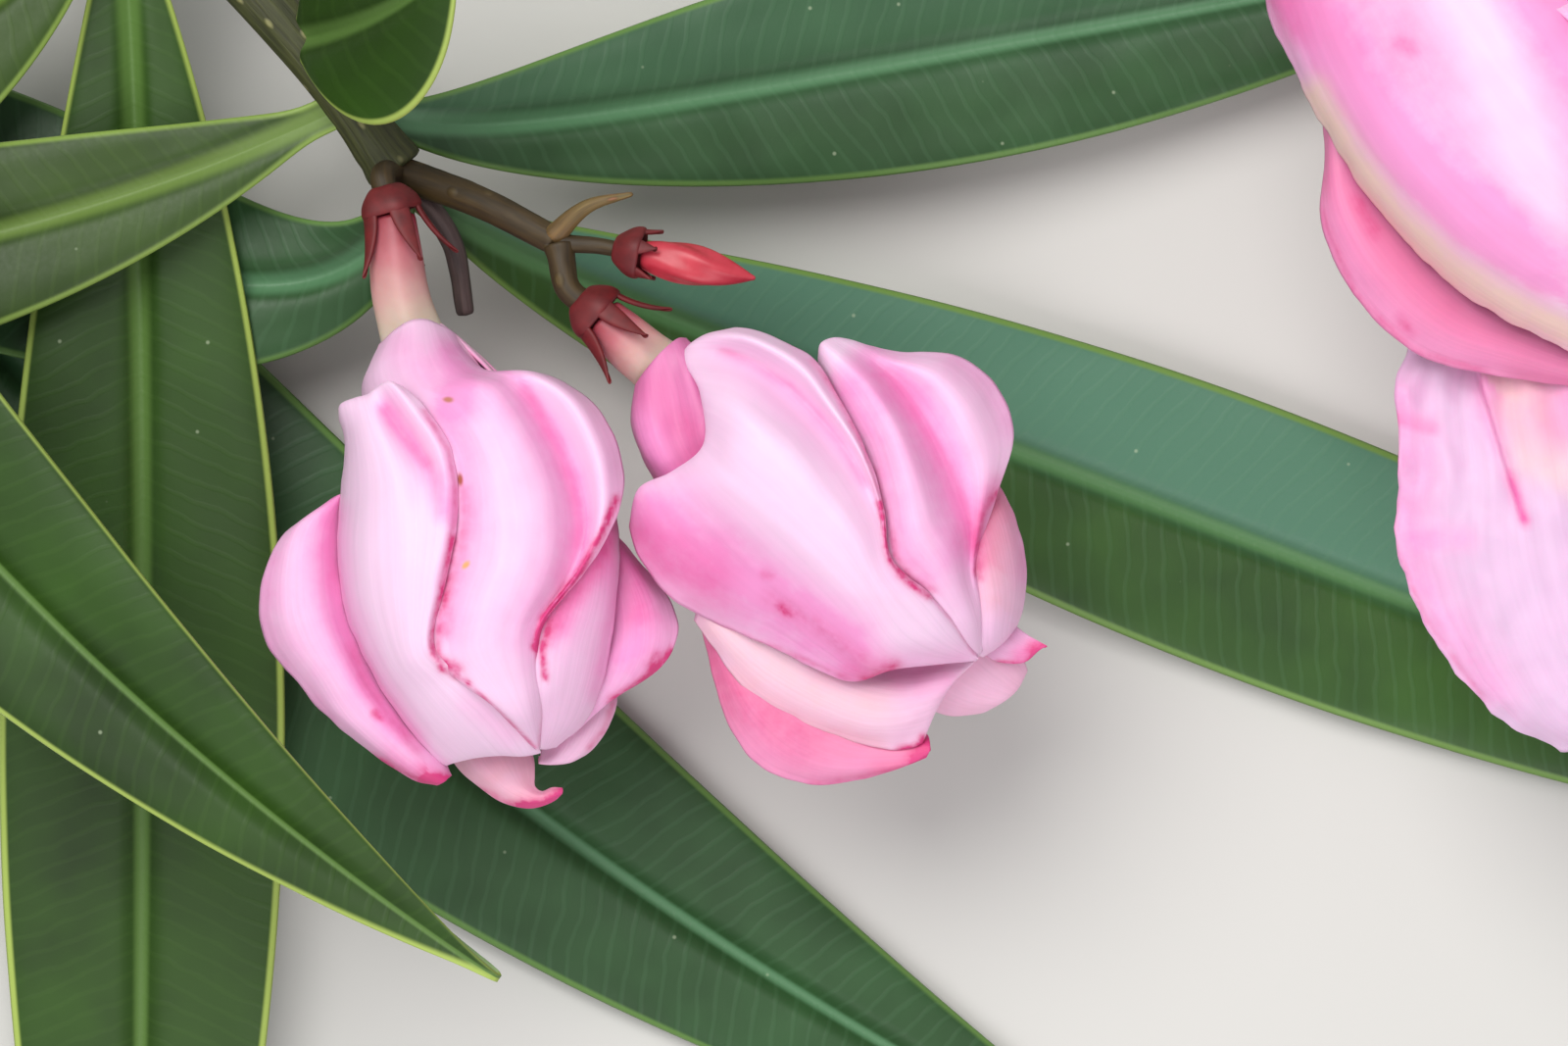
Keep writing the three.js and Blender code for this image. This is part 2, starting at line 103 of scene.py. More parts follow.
world = bpy.data.worlds.new("soft_sky")
world.use_nodes = True
world.node_tree.nodes["Background"].inputs["Color"].default_value = WORLD_TINT
world.node_tree.nodes["Background"].inputs["Strength"].default_value = WORLD_STRENGTH
bpy.context.scene.world = world
for name, lamp in LAMPS.items():
    data = bpy.data.lights.new(name, "AREA")
    data.shape = "DISK"
    data.size = lamp["size"] * MM
    data.energy = lamp["power"]
    data.color = lamp["tint"]
    shining = bpy.data.objects.new(name, data)
    shining.location = (HEART + Vector(lamp["place"])) * MM
    aim = HEART * MM - shining.location
    shining.rotation_euler = aim.to_track_quat("-Z", "Y").to_euler()
    bpy.context.scene.collection.objects.link(shining)
bpy.context.scene.view_settings.view_transform = "Standard"
print("lamps:", ", ".join(LAMPS))

# %% [markdown]
# ## Helpers for finishes
# Colours are written as sRGB hex, as read off a colour card, and one function turns them to the linear
# values that the renderer works with. One more function adds a shader node, sets it and links it. The
# short ones after it stand for the nodes that every finish needs: a blend of two colours, a value spread
# over a new range, a sum, soft clouds, scattered spots, and relief. A few sockets share a name with
# others on the same node, so they are picked by number.

# %% Helpers for finishes
MIX_SHARE, MIX_FROM, MIX_TO, MIXED = 0, 6, 7, 2
LOW, HIGH, AT_LOW, AT_HIGH = 1, 2, 3, 4


def colour(code):
    """A hex colour as linear red, green, blue and alpha"""
    shares = [int(code[i : i + 2], 16) / 255 for i in (1, 3, 5)]
    linear = [s / 12.92 if s <= 0.04045 else ((s + 0.055) / 1.055) ** 2.4 for s in shares]
    return (*linear, 1.0)


def add(material, kind, settings=None, inputs=None):
    """Adds a shader node, sets its options, and fills or links its inputs"""
    node = material.node_tree.nodes.new("ShaderNode" + kind)
    for name, value in (settings or {}).items():
        setattr(node, name, value)
    for name, value in (inputs or {}).items():
        if isinstance(value, bpy.types.NodeSocket):
            material.node_tree.links.new(value, node.inputs[name])
        else:
            node.inputs[name].default_value = value
    return node


def blend(material, share, start, end, how="MIX"):
    """A colour that lies a share of the way from one to another"""
    ends = {MIX_SHARE: share, MIX_FROM: start, MIX_TO: end}
    return add(material, "Mix", {"data_type": "RGBA", "blend_type": how}, ends).outputs[MIXED]


def ranged(material, value, low, high, start=0.0, end=1.0, curve="LINEAR", held=True):
    """A value between low and high, spread over start to end"""
    ends = {"Value": value, LOW: low, HIGH: high, AT_LOW: start, AT_HIGH: end}
    return add(material, "MapRange", {"interpolation_type": curve, "clamp": held}, ends).outputs["Result"]


def maths(material, operation, *values, held=False):
    """One sum on one to three values, held between 0 and 1 if asked"""
    options = {"operation": operation, "use_clamp": held}
    return add(material, "Math", options, dict(enumerate(values))).outputs[0]


def clouds(material, place, scale, detail=3.0, roughness=0.5):
    """Soft uneven patches round 0.5; the scale is how many fit in one unit of the place"""
    inputs = {"Vector": place, "Scale": scale, "Detail": detail, "Roughness": roughness}
    return add(material, "TexNoise", inputs=inputs).outputs["Fac"]


def spots(material, place, scale):
    """How far each place is from the nearest of many scattered points"""
    inputs = {"Vector": place, "Scale": scale, "Randomness": 1.0}
    return add(material, "TexVoronoi", {"feature": "F1"}, inputs).outputs["Distance"]


def mark_of(material, name):
    """A number that the piece carries at each of its corners"""
    return add(material, "Attribute", {"attribute_name": name}).outputs["Fac"]


def relief(material, height, strength, depth, below=None):
    """The surface's tilt where a height rises, over another relief if there is one"""
    inputs = {"Strength": strength, "Distance": depth, "Height": height}
    if below is not None:
        inputs["Normal"] = below
    return add(material, "Bump", inputs=inputs).outputs["Normal"]


def own_map(material):
    """The piece's own map of its surface"""
    return add(material, "UVMap", {"uv_map": "UVMap"}).outputs["UV"]


def own_place(material):
    """The place in the piece's own directions, in metres"""
    return add(material, "TexCoord").outputs["Object"]


def finish(name, **sockets):
    """A new material with its one surface shader, whose plain values are set by name"""
    material = bpy.data.materials.new(name)
    material.use_nodes = True
    shader = material.node_tree.nodes["Principled BSDF"]
    for socket, value in sockets.items():
        shader.inputs[socket.replace("_", " ")].default_value = value
    return material, shader


def dress(material, shader, **outputs):
    """Links what the nodes worked out to the surface shader, by socket name"""
    for socket, output in outputs.items():
        material.node_tree.links.new(output, shader.inputs[socket.replace("_", " ")])
    return material


# %% [markdown]
# ## The surface that the sprig lies on
# This is a plain pale table top. A faint mottle keeps it from looking like a blank screen, and being matt
# it takes soft shadows without a reflection. It lies a hair under the height of zero, so that it shares no
# plane with a leaf that rests there.

# %% Lay the table top
TABLE_HALF = 1500.0
TABLE_DROP = 0.3
MOTTLES_PER_METRE = 6.0

table_paper, shader = finish("matt_pale_table_top", Roughness=0.9)
mottle = clouds(table_paper, own_place(table_paper), MOTTLES_PER_METRE, 2.0)
dress(table_paper, shader, Base_Color=blend(table_paper, mottle, colour("#C6C5C0"), colour("#CDCCC8")))

bm = bmesh.new()
bmesh.ops.create_grid(bm, x_segments=1, y_segments=1, size=TABLE_HALF * MM)
bmesh.ops.translate(bm, verts=bm.verts, vec=(0, 0, -TABLE_DROP * MM))
table_mesh = bpy.data.meshes.new("table_top")
bm.to_mesh(table_mesh)
bm.free()
table_mesh.materials.append(table_paper)
table = bpy.data.objects.new("table_top", table_mesh)
bpy.context.scene.collection.objects.link(table)
table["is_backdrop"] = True
print("table top in mm:", 2 * TABLE_HALF)

# %% [markdown]
# ## Helpers for curves
# Plants have no straight lines, so nearly everything below hangs on one smooth curve through a few given
# points. The curve keeps clear of loops where points lie close together, because it allows each stretch a
# share of the way that goes with the root of its length.

# %% Helpers for curves
def mix(a, b, share):
    return a + (b - a) * share


def hump(t, middle, width):
    """A soft bump of height 1 round the middle"""
    return math.exp(-(((t - middle) / width) ** 2))


def wave(share, skew, fullness):
    """A half wave over shares 0 to 1, widest where skew puts it, and fuller with a low fullness"""
    return max(0.0, math.sin(math.pi * min(1.0, share**skew))) ** fullness


def through(points, share):
    """The place at a share of the way along a smooth curve through all the points"""
    spans = len(points) - 1
    span = min(int(share * spans), spans - 1)
    b, c = points[span], points[span + 1]
    a = points[span - 1] if span else b * 2 - c
    d = points[span + 2] if span + 2 <= spans else c * 2 - b
    knots = [0.0]
    for one, other in ((a, b), (b, c), (c, d)):
        knots.append(knots[-1] + max((other - one).length, 1e-4) ** 0.5)
    t = mix(knots[1], knots[2], share * spans - span)

    def between(p, q, start, end):
        return p + (q - p) * ((t - start) / (end - start))

    ab, bc, cd = between(a, b, *knots[0:2]), between(b, c, *knots[1:3]), between(c, d, *knots[2:4])
    abc, bcd = between(ab, bc, knots[0], knots[2]), between(bc, cd, knots[1], knots[3])
    return between(abc, bcd, knots[1], knots[2])


def uneven(point, scale, seed):
    """A smooth, repeatable wander between about -1 and 1, with bumps about as large as scale"""
    return noise.noise(Vector((point[0] / scale + seed, point[1] / scale - seed, seed * 0.7)))


# %% [markdown]
# ## Helpers for pieces
# Every sheet and tube here starts as a flat grid. Each corner of the grid is then moved to the place that
# a small function gives for its two shares: across and along. A tube is a grid whose two sides meet, so they
# are welded, and its ends are filled. Marks, such as how much a petal blushes, go on the corners at the
# same time as numbers that the material can read. A finished piece is scaled to metres, given its wall,
# smoothed once where its grid is coarse, and the imported node that it stands for is hidden.

# %% Helpers for pieces
def grid(place, across, along, marks=None, uv=None):
    """A grid of squares whose corners go where place(u, v) says, with marks on its corners"""
    bm = bmesh.new()
    uv_layer = bm.loops.layers.uv.new("UVMap")
    layers = {name: bm.verts.layers.float.new(name) for name in marks or {}}
    bmesh.ops.create_grid(bm, x_segments=across, y_segments=along, size=0.5, calc_uvs=True)
    shares = {vert: (vert.co.x + 0.5, vert.co.y + 0.5) for vert in bm.verts}
    for name in layers:
        layer = bm.verts.layers.float[name]
        for vert, (u, v) in shares.items():
            vert[layer] = marks[name](u, v)
    if uv:
        for face in bm.faces:
            for loop in face.loops:
                loop[uv_layer].uv = uv(*loop[uv_layer].uv)
    for vert, (u, v) in shares.items():
        vert.co = place(u, v)
    return bm


def face_toward(bm, direction):
    """Turns a sheet over if it mostly faces away"""
    bm.normal_update()
    if sum(face.normal.dot(direction) * face.calc_area() for face in bm.faces) < 0:
        bmesh.ops.reverse_faces(bm, faces=bm.faces)
    return bm


WELD = 1e-4


def tube(place, around, along, marks=None, uv=None):
    """A grid rolled into a tube, welded along its seam and closed at its ends"""
    bm = grid(place, around, along, marks, uv)
    bmesh.ops.remove_doubles(bm, verts=bm.verts, dist=WELD)
    bmesh.ops.holes_fill(bm, edges=[edge for edge in bm.edges if edge.is_boundary])
    bmesh.ops.recalc_face_normals(bm, faces=bm.faces)
    return bm


SOLID = {"offset": -1.0, "use_even_offset": False, "use_quality_normals": True}
made = {}


def piece(bm, name, node, slot, materials, wall=0, rim=0, under=0, levels=1, weights=None):
    """Turns a mesh into a finished piece that stands for a node: scaled, thickened and smoothed"""
    bmesh.ops.scale(bm, verts=bm.verts, vec=(MM, MM, MM))
    for face in bm.faces:
        face.smooth = True
    mesh = bpy.data.meshes.new(name)
    bm.to_mesh(mesh)
    bm.free()
    for material in materials:
        mesh.materials.append(material)
    thing = bpy.data.objects.new(name, mesh)
    bpy.context.scene.collection.objects.link(thing)
    if wall:
        shell = thing.modifiers.new("wall", "SOLIDIFY")
        shell.thickness = wall * MM
        shell.material_offset_rim = rim
        shell.material_offset = under
        for option, value in SOLID.items():
            setattr(shell, option, value)
        if weights:
            group = thing.vertex_groups.new(name="wall")
            for index, weight in enumerate(weights):
                group.add([index], weight, "REPLACE")
            shell.vertex_group = "wall"
    if levels:
        smooth = thing.modifiers.new("smooth", "SUBSURF")
        smooth.levels = levels
        smooth.render_levels = levels
    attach(thing, "root")
    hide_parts(node)
    made[name] = len(mesh.polygons) * 4**levels * (2 if wall else 1)
    return thing


# %% [markdown]
# ## Where things grow
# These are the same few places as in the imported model: the joints where whorls of leaves and side shoots
# leave the stem, and each flower's foot and point, with how far above the foot its petals part.

# %% Places on the sprig
def at(x, y, z):
    """A place given from the heart"""
    return Vector((x + HEART.x, y + HEART.y, z))


JOINTS = {
    "lower": at(-93, 67, 8),
    "middle": at(-43, 42.8, 12.5),
    "small": at(-31.4, 31.2, 13),
    "upper": at(-28.2, 27, 12.8),
    "head": at(-25, 22.7, 12.4),
    "shoot": at(2, 55, 12.5),
    "shoot_tip": at(20.5, 59.5, 17),
}
FLOWERS = {
    "bloom_right": {"foot": at(-12, 13.4, 18.6), "apex": at(12.7, -8.3, 19.4), "tube": 8.0},
    "bloom_left": {"foot": at(-25.3, 20.2, 15.4), "apex": at(-15.6, -15.2, 17.2), "tube": 8.2},
    "bloom_open": {"foot": at(30.3, 53.2, 20.4), "apex": at(67.6, 8.8, 26), "tube": 12.0},
    "bud_right": {"foot": at(-9.4, 17.2, 19), "apex": at(-1.8, 15.6, 20.2), "tube": 0.0},
    "bud_shoot": {"foot": at(27, 67.5, 20.6), "apex": at(30.6, 75, 24), "tube": 0.0},
    "bud_shoot_low": {"foot": at(18, 67.4, 20.4), "apex": at(16, 74.8, 23.6), "tube": 0.0},
}
print("joints:", len(JOINTS), "flowers:", len(FLOWERS))

# %% [markdown]
# ## Bark and stalk finishes
# Young oleander bark is thin and olive to grey-brown, with fine lengthwise cracks and pale raised pores.
# Stalks in the flower head are smooth and reddish brown. Both patterns follow the limb, so they
# read the limb's own map: one direction round it and one along it, both in millimetres. The cracks break
# the light up into a dull, silky sheen, and the pores catch it as small bright dots.

# %% Bark and stalk finishes
PORE_SPACING = 2.2
CRACK_WIDTH = 0.5
CRACK_STRETCH = 0.12
PATCHES_PER_MM = 0.25


def bark_finish(name, ground, streak, pore, crack_depth):
    """Thin living bark: cracks drawn out along the limb, and pale corky pores"""
    material, shader = finish(name, Roughness=0.62)
    surface = own_map(material)
    drawn = add(material, "Mapping", inputs={"Vector": surface, "Scale": (1.0, CRACK_STRETCH, 1.0)})
    cracks = clouds(material, drawn.outputs["Vector"], 1 / CRACK_WIDTH, 4.0)
    pores = ranged(material, spots(material, surface, 1 / PORE_SPACING), 0.22, 0.1)
    tone = blend(material, clouds(material, surface, PATCHES_PER_MM), colour(ground), colour(streak))
    tone = blend(material, 1.0, tone, ranged(material, cracks, 0.35, 0.65, 0.55, 1.15), "MULTIPLY")
    tone = blend(material, pores, tone, colour(pore))
    cracked = relief(material, cracks, crack_depth, 0.15 * MM)
    return dress(material, shader, Base_Color=tone,
                 Normal=relief(material, pores, 0.5, 0.2 * MM, below=cracked))


bark = bark_finish("young_olive_brown_bark", "#2E3514", "#474820", "#7C7A4E", 0.8)
stalk_skin = bark_finish("red_brown_stalk_skin", "#30200A", "#44340E", "#4E3E1C", 0.35)
spent_skin = bark_finish("withered_grey_stalk_skin", "#3E3032", "#5C4A44", "#6C5C54", 0.9)
bract_skin = bark_finish("red_green_bract_skin", "#6A3A22", "#6F6A34", "#8A5A40", 0.3)
print("limb skins:", ", ".join(skin.name for skin in (bark, stalk_skin, spent_skin, bract_skin)))

# %% [markdown]
# A cut across the shoot shows a thin green-brown rind, pale wood with a faint ring, and a soft white pith
# in the middle.

# %% Cut faces
def plain_mottle(name, dark, light, size, roughness):
    """Two near tones in soft patches of a real size in millimetres"""
    material, shader = finish(name, Roughness=roughness)
    patches = clouds(material, own_place(material), 1 / (size * MM))
    return dress(material, shader, Base_Color=blend(material, patches, colour(dark), colour(light)))


cut_wood = plain_mottle("freshly_cut_pale_wood", "#C9BC8C", "#DDD3A8", 0.4, 0.7)
cut_pith = plain_mottle("soft_white_pith", "#E4E2C8", "#F0EEDC", 0.3, 0.9)

# %% [markdown]
# ## Limbs
# A limb could be a curve with a bevel, but then it would have no swollen joints, scars or ridges. Here each
# limb is a tube of rings along its path. The rings swell at the leaf joints, where each whorl leaves
# three scars, and wander a little so that no stretch is a perfect cone.

# %% Make the limbs
NODE_SWELL = 0.45
NODE_REACH = 2.4
BARK_WANDER = 0.09
RING_STEP = 0.5
SCAR_DEPTH = 0.16
SCAR_AWAY = 1.4
SCAR_WIDTH = 0.35
ROUND_SIDES = 32
THIN_SIDES = 18
THICK_LIMB = 1.5
RIND = 0.45
WOOD_RING = 1.55
CUT_STEP = 0.04
CUT_REACH = 0.12
WOOD_REACH = 2.6

LIMBS = {
    "main_stem": {
        "points": [at(-124, 70.4, 3.3), at(-108, 69.6, 5.2), JOINTS["lower"], at(-67, 58.2, 10.6),
                   JOINTS["middle"], JOINTS["small"], JOINTS["head"]],
        "foot": 3.3, "tip": 1.55, "joints": ("lower", "middle", "head"), "skin": bark, "slot": "bark",
    },
    "side_shoot": {
        "points": [JOINTS["middle"], at(-26, 50, 12), JOINTS["shoot"], JOINTS["shoot_tip"]],
        "foot": 1.9, "tip": 1.15, "joints": ("shoot", "shoot_tip"), "skin": bark, "slot": "bark",
    },
    "head_stalk": {
        "points": [JOINTS["head"], at(-19.5, 20.6, 15.6), at(-14.4, 17.9, 18)],
        "foot": 1.15, "tip": 0.95, "joints": (), "skin": stalk_skin, "slot": "stalk",
    },
    "spent_stalk": {
        "points": [JOINTS["head"], at(-21.6, 18.4, 12), at(-20.6, 13.4, 11.4)],
        "foot": 0.85, "tip": 0.6, "joints": (), "skin": spent_skin, "slot": "stalk",
    },
    "bract": {
        "points": [at(-14.9, 18.2, 18), at(-12.6, 20.2, 19), at(-9.6, 21, 19.6)],
        "foot": 0.8, "tip": 0.15, "joints": (), "skin": bract_skin, "slot": "stalk",
    },
}


def walk(points, step):
    """Points at even steps along the curve, each with its direction, side and up"""
    fine = [through(points, i / (60 * (len(points) - 1))) for i in range(60 * (len(points) - 1) + 1)]
    travelled = [0.0]
    for one, other in zip(fine, fine[1:]):
        travelled.append(travelled[-1] + (other - one).length)
    count = max(4, round(travelled[-1] / step))
    places = []
    i = 0
    for k in range(count + 1):
        goal = travelled[-1] * k / count
        while i < len(fine) - 2 and travelled[i + 1] < goal:
            i += 1
        share = (goal - travelled[i]) / max(travelled[i + 1] - travelled[i], 1e-9)
        places.append(fine[i].lerp(fine[i + 1], share))
    frames = []
    side = None
    for k, place in enumerate(places):
        ahead = (places[min(k + 1, count)] - places[max(k - 1, 0)]).normalized()
        if side is None:
            side = ahead.orthogonal().normalized()
        side = (side - ahead * side.dot(ahead)).normalized()
        frames.append((place, ahead, side, ahead.cross(side)))
    return frames, travelled[-1]


def limb(points, radius_at, around, step, uv_round):
    """A tube of rings round a path, whose radius depends on the share along, the angle and the place"""
    frames, length = walk(points, step)
    last = len(frames) - 1

    def place(u, v):
        centre, ahead, side, up = frames[round(v * last)]
        angle = 2 * math.pi * u
        radius = radius_at(v, angle, centre)
        return centre + side * (radius * math.cos(angle)) + up * (radius * math.sin(angle))

    bm = tube(place, around, last, uv=lambda u, v: (u * uv_round, v * length))
    return bm, frames, length


def cut_end(bm, centre, ahead):
    """Insets rind, wood and pith rings into the flat cut"""
    ends = [face for face in bm.faces if len(face.verts) > 4]
    cut = min(ends, key=lambda face: (face.calc_center_median() - centre).length)
    for width, slot_index in ((RIND, 1), (WOOD_RING, 2)):
        bmesh.ops.inset_individual(bm, faces=[cut], thickness=width, depth=-CUT_STEP)
        cut.material_index = slot_index
    for face in bm.faces:
        off = face.calc_center_median() - centre
        if face != cut and abs(off.dot(ahead)) < CUT_REACH and off.length < WOOD_REACH:
            face.material_index = 1


for name, limb_spec in LIMBS.items():
    joint_places = [JOINTS[joint] for joint in limb_spec["joints"]]

    def radius_at(share, angle, centre, spec=limb_spec, places=joint_places, seed=len(name)):
        radius = mix(spec["foot"], spec["tip"], share)
        for joint in places:
            away = (centre - joint).length
            radius += NODE_SWELL * hump(away, 0, NODE_REACH)
            scar = hump(away, SCAR_AWAY, SCAR_WIDTH)
            radius -= SCAR_DEPTH * scar * (0.6 + 0.4 * math.cos(3 * angle))
        flutes = 0.02 * radius * math.cos(3 * angle + share * 2)
        wander = BARK_WANDER * uneven((math.cos(angle) * 3 + share * 40, math.sin(angle) * 3), 2.2, seed)
        return max(0.1, radius + flutes + wander * min(1.0, radius / 1.5))

    sides = ROUND_SIDES if limb_spec["foot"] > THICK_LIMB else THIN_SIDES
    girth = 2 * math.pi * limb_spec["foot"]
    bm, frames, length = limb(limb_spec["points"], radius_at, sides, RING_STEP, girth)
    skins = [limb_spec["skin"]]
    if name == "main_stem":
        cut_end(bm, frames[0][0], frames[0][1])
        skins += [cut_wood, cut_pith]
    piece(bm, f"{name}_bark", name, limb_spec["slot"], skins)
    print(name, "length in mm:", round(length, 1))

# %% [markdown]
# ## Leaf finishes
# Oleander leaves are leathery, half glossy and blue-green above, with a pale midrib. Fine side veins leave
# it at a steep angle, little more than a millimetre apart, and run straight to a thin yellow-green margin.
# The underside is paler and dull. The map runs in millimetres across and along the blade, so the veins
# keep their real spacing on long and short leaves alike.

# %% Leaf finishes
VEIN_SPACING = 1.35
VEIN_SLANT = 0.42
VEIN_WANDER = 1.4
VEIN_SHOW = 0.075
RIB_HALF = 0.5
DUST = "#C9D6B4"


def leaf_finish(name, deep, fresh, painted_sky_sheen, vein, rib, margin, gloss):
    """A waxy leaf face: mottled green, painted sky sheen, straight side veins, pale midrib and margin"""
    material, shader = finish(name, Roughness=gloss, IOR=1.42)
    surface = own_map(material)
    parts = add(material, "SeparateXYZ", inputs={"Vector": surface})
    off_rib = maths(material, "ABSOLUTE", parts.outputs["X"])
    slanted = maths(material, "MULTIPLY_ADD", off_rib, -VEIN_SLANT, parts.outputs["Y"])
    along = maths(material, "MULTIPLY_ADD", clouds(material, surface, 0.22, 2.0), VEIN_WANDER, slanted)
    comb = maths(material, "COSINE", maths(material, "MULTIPLY", along, 2 * math.pi / VEIN_SPACING))
    veins = ranged(material, comb, 0.5, 1.0, curve="SMOOTHSTEP")
    patches = ranged(material, clouds(material, surface, 0.09, 3.0, 0.6), 0.3, 0.7)
    tone = blend(material, patches, colour(deep), colour(fresh))
    # painted sky sheen: a lighter green on the side of the midrib that the mark covers
    tone = blend(material, mark_of(material, "painted_sky_sheen"), tone, colour(painted_sky_sheen))
    tone = blend(material, maths(material, "MULTIPLY", veins, VEIN_SHOW), tone, colour(vein))
    narrow = maths(material, "DIVIDE", off_rib, mark_of(material, "slim"))
    middle = ranged(material, narrow, RIB_HALF * 1.5, RIB_HALF * 0.5, 0.0, 0.85, curve="SMOOTHSTEP")
    tone = blend(material, middle, tone, colour(rib))
    rim = ranged(material, mark_of(material, "edge"), 0.95, 0.985, curve="SMOOTHSTEP")
    tone = blend(material, rim, tone, colour(margin))
    specks = ranged(material, spots(material, surface, 0.3), 0.05, 0.02, 0.0, 0.3)
    tone = blend(material, specks, tone, colour(DUST))
    grain = clouds(material, surface, 2.6)
    ridges = maths(material, "MULTIPLY_ADD", grain, 0.5, veins)
    return dress(material, shader, Base_Color=tone, Normal=relief(material, ridges, 0.08, 0.12 * MM),
                 Roughness=ranged(material, grain, 0.0, 1.0, gloss - 0.06, gloss + 0.1))


# The third colour of each leaf top is its painted sky sheen.
leaf_tops = {
    "mature": leaf_finish("waxy_blue_green_leaf_top", "#1E3E1A", "#2D532B", "#466F55", "#5C8660", "#54805A",
                          "#5A7E3C", 0.45),
    # painted sky sheen: strong on the leaf that uses this top, it gives one half a lighter blue-green
    "painted_sheen_green": leaf_finish("waxy_green_leaf_top_with_painted_blue_sheen", "#20400E", "#305617", "#4C7861",
                            "#5C8660", "#4F7A48", "#66883F", 0.45),
    # The dark top's bright margin is partly its own yellow-green edge and partly painted light.
    "dark": leaf_finish("waxy_dark_green_leaf_top", "#1A3203", "#294A08", "#35541C", "#486A26",
                        "#567636", "#9DB255", 0.48),
    "young": leaf_finish("soft_olive_young_leaf_top", "#243A08", "#344E10", "#40581C", "#54702A",
                         "#668038", "#7C9644", 0.48),
}
leaf_under = leaf_finish("dull_pale_leaf_underside", "#56744A", "#688458", "#688458", "#7E986A",
                         "#A8B888", "#90A468", 0.6)
print("leaf faces:", ", ".join(leaf_tops), "and one underside")

# %% [markdown]
# ## Leaves
# A leaf starts as a flat grid along its midrib. The midrib walks from its joint in small strides
# while its compass heading turns, and settles to a rest height at its tip. Each side folds up a little,
# bellies between midrib and margin, and waves gently. The midrib is sunk on top and stands proud below,
# which a thicker wall there gives. Three numbers go on each corner for the finish: how near the margin
# it lies, how much painted sky sheen it gets, and how slim the midrib is there. The painted sky sheen is a
# lighter green on one side of the midrib, put in place of the sky's light on that side.

# %% Leaf shape
PETIOLE_HALF = 1.25
TIP_HALF = 0.25
LEAF_SKEW = 0.92
LEAF_FULLNESS = 0.95
LEAF_FOLD = 10
LEAF_ACROSS = 20
LONG_LEAF = 60
LONG_STEPS = 60
SHORT_STEPS = 36
STRIDES = 40
LEAF_WALL = 1.0
BLADE_SHARE = 0.42
RIB_SINK = 0.2
BELLY = 0.035
MARGIN_WAVE = 0.35
MARGIN_FADE = 12

LEAVES = {
    # Its margins weaken the bright margin tone on one side, so the other shows brighter, partly as painted
    # light.
    "leaf_front": {"joint": "lower", "heading": (-70.7, -33.3), "length": 124, "width": 18,
                   "tip": 23, "settle": 3.2, "roll": (14, 8), "kind": "dark",
                   "rib": 0.6, "margins": (0.97, 1.0)},
    "leaf_floor": {"joint": "lower", "heading": (-60.5, -25.5), "length": 168, "width": 23,
                   "tip": 0.35, "settle": 3, "fold": 5, "kind": "mature"},
    "leaf_back": {"joint": "lower", "heading": (38, 18), "length": 118, "width": 19,
                  "tip": 0.35, "settle": 1.6, "arch": 5, "kind": "mature"},
    "leaf_hanging": {"joint": "middle", "heading": (-86, -91), "bend": 4, "length": 121, "width": 19,
                     "tip": 0.33, "settle": 2.2, "arch": 2.5, "fold": 6, "kind": "dark", "painted_sky_sheen": 0.3},
    "leaf_rising": {"joint": "middle", "heading": (66, 38), "length": 104, "width": 18,
                    "tip": 6, "settle": 1.5, "arch": 8, "kind": "mature"},
    "leaf_turned": {"joint": "middle", "heading": (238, 178), "bend": 3, "length": 100, "width": 22,
                    "tip": 8, "settle": 1, "arch": 4.5, "kind": "young"},
    "leaf_far": {"joint": "upper", "heading": (-24, 10.5), "bend": 14, "length": 86, "width": 15,
                 "tip": 3.4, "settle": 3, "fold": 6, "kind": "mature", "painted_sky_sheen": 0.3},
    "leaf_left": {"joint": "upper", "heading": (206, 182), "bend": 2, "length": 84, "width": 14,
                  "tip": 7, "settle": 1, "arch": 1.5, "fold": 8, "kind": "young"},
    "leaf_small": {"joint": "small", "heading": (2, 38), "length": 12, "width": 14,
                   "tip": 31, "settle": 1.2, "fold": 12, "kind": "dark"},
    "leaf_right": {"joint": "head", "heading": (-48, -21), "bend": 25, "length": 130, "width": 18,
                   "tip": 0.42, "settle": 6, "fold": 5, "kind": "painted_sheen_green", "painted_sky_sheen": 0.9},
    "leaf_low": {"joint": "head", "heading": (285, 160), "bend": 9, "length": 72, "width": 17,
                 "tip": 8.6, "settle": 9, "arch": -2.4, "fold": 5, "kind": "mature"},
    "leaf_shoot_left": {"joint": "shoot", "heading": (58, 30), "length": 96, "width": 17,
                        "tip": 2.5, "settle": 1.8, "arch": 6, "kind": "mature"},
    "leaf_shoot_right": {"joint": "shoot", "heading": (-14, -24), "length": 98, "width": 16,
                         "tip": 0.35, "settle": 2.5, "fold": 5, "kind": "mature"},
    "leaf_tip": {"joint": "shoot_tip", "heading": (34, -2), "length": 88, "width": 16,
                 "tip": 9, "settle": 1.4, "arch": 6, "kind": "mature"},
    "leaf_tip_small": {"joint": "shoot_tip", "heading": (102, 122), "length": 60, "width": 12,
                       "tip": 12, "settle": 1.3, "arch": 1, "kind": "young"},
}


def midrib_points(leaf, count):
    """The midrib from its joint to its tip, found by walking in even strides"""
    foot = JOINTS[leaf["joint"]]
    points = []
    for k in range(count + 1):
        s = k / count
        stride = leaf["length"] * s / STRIDES
        place = foot.copy()
        for i in range(STRIDES):
            bent = 1 - (1 - s * (i + 0.5) / STRIDES) ** leaf.get("bend", 1)
            heading = math.radians(mix(*leaf["heading"], bent))
            place.x += stride * math.cos(heading)
            place.y += stride * math.sin(heading)
        drop = (foot.z - leaf["tip"]) * (1 - s) ** leaf["settle"]
        place.z = leaf["tip"] + drop + leaf.get("arch", 0) * math.sin(math.pi * s)
        points.append(place)
    return points


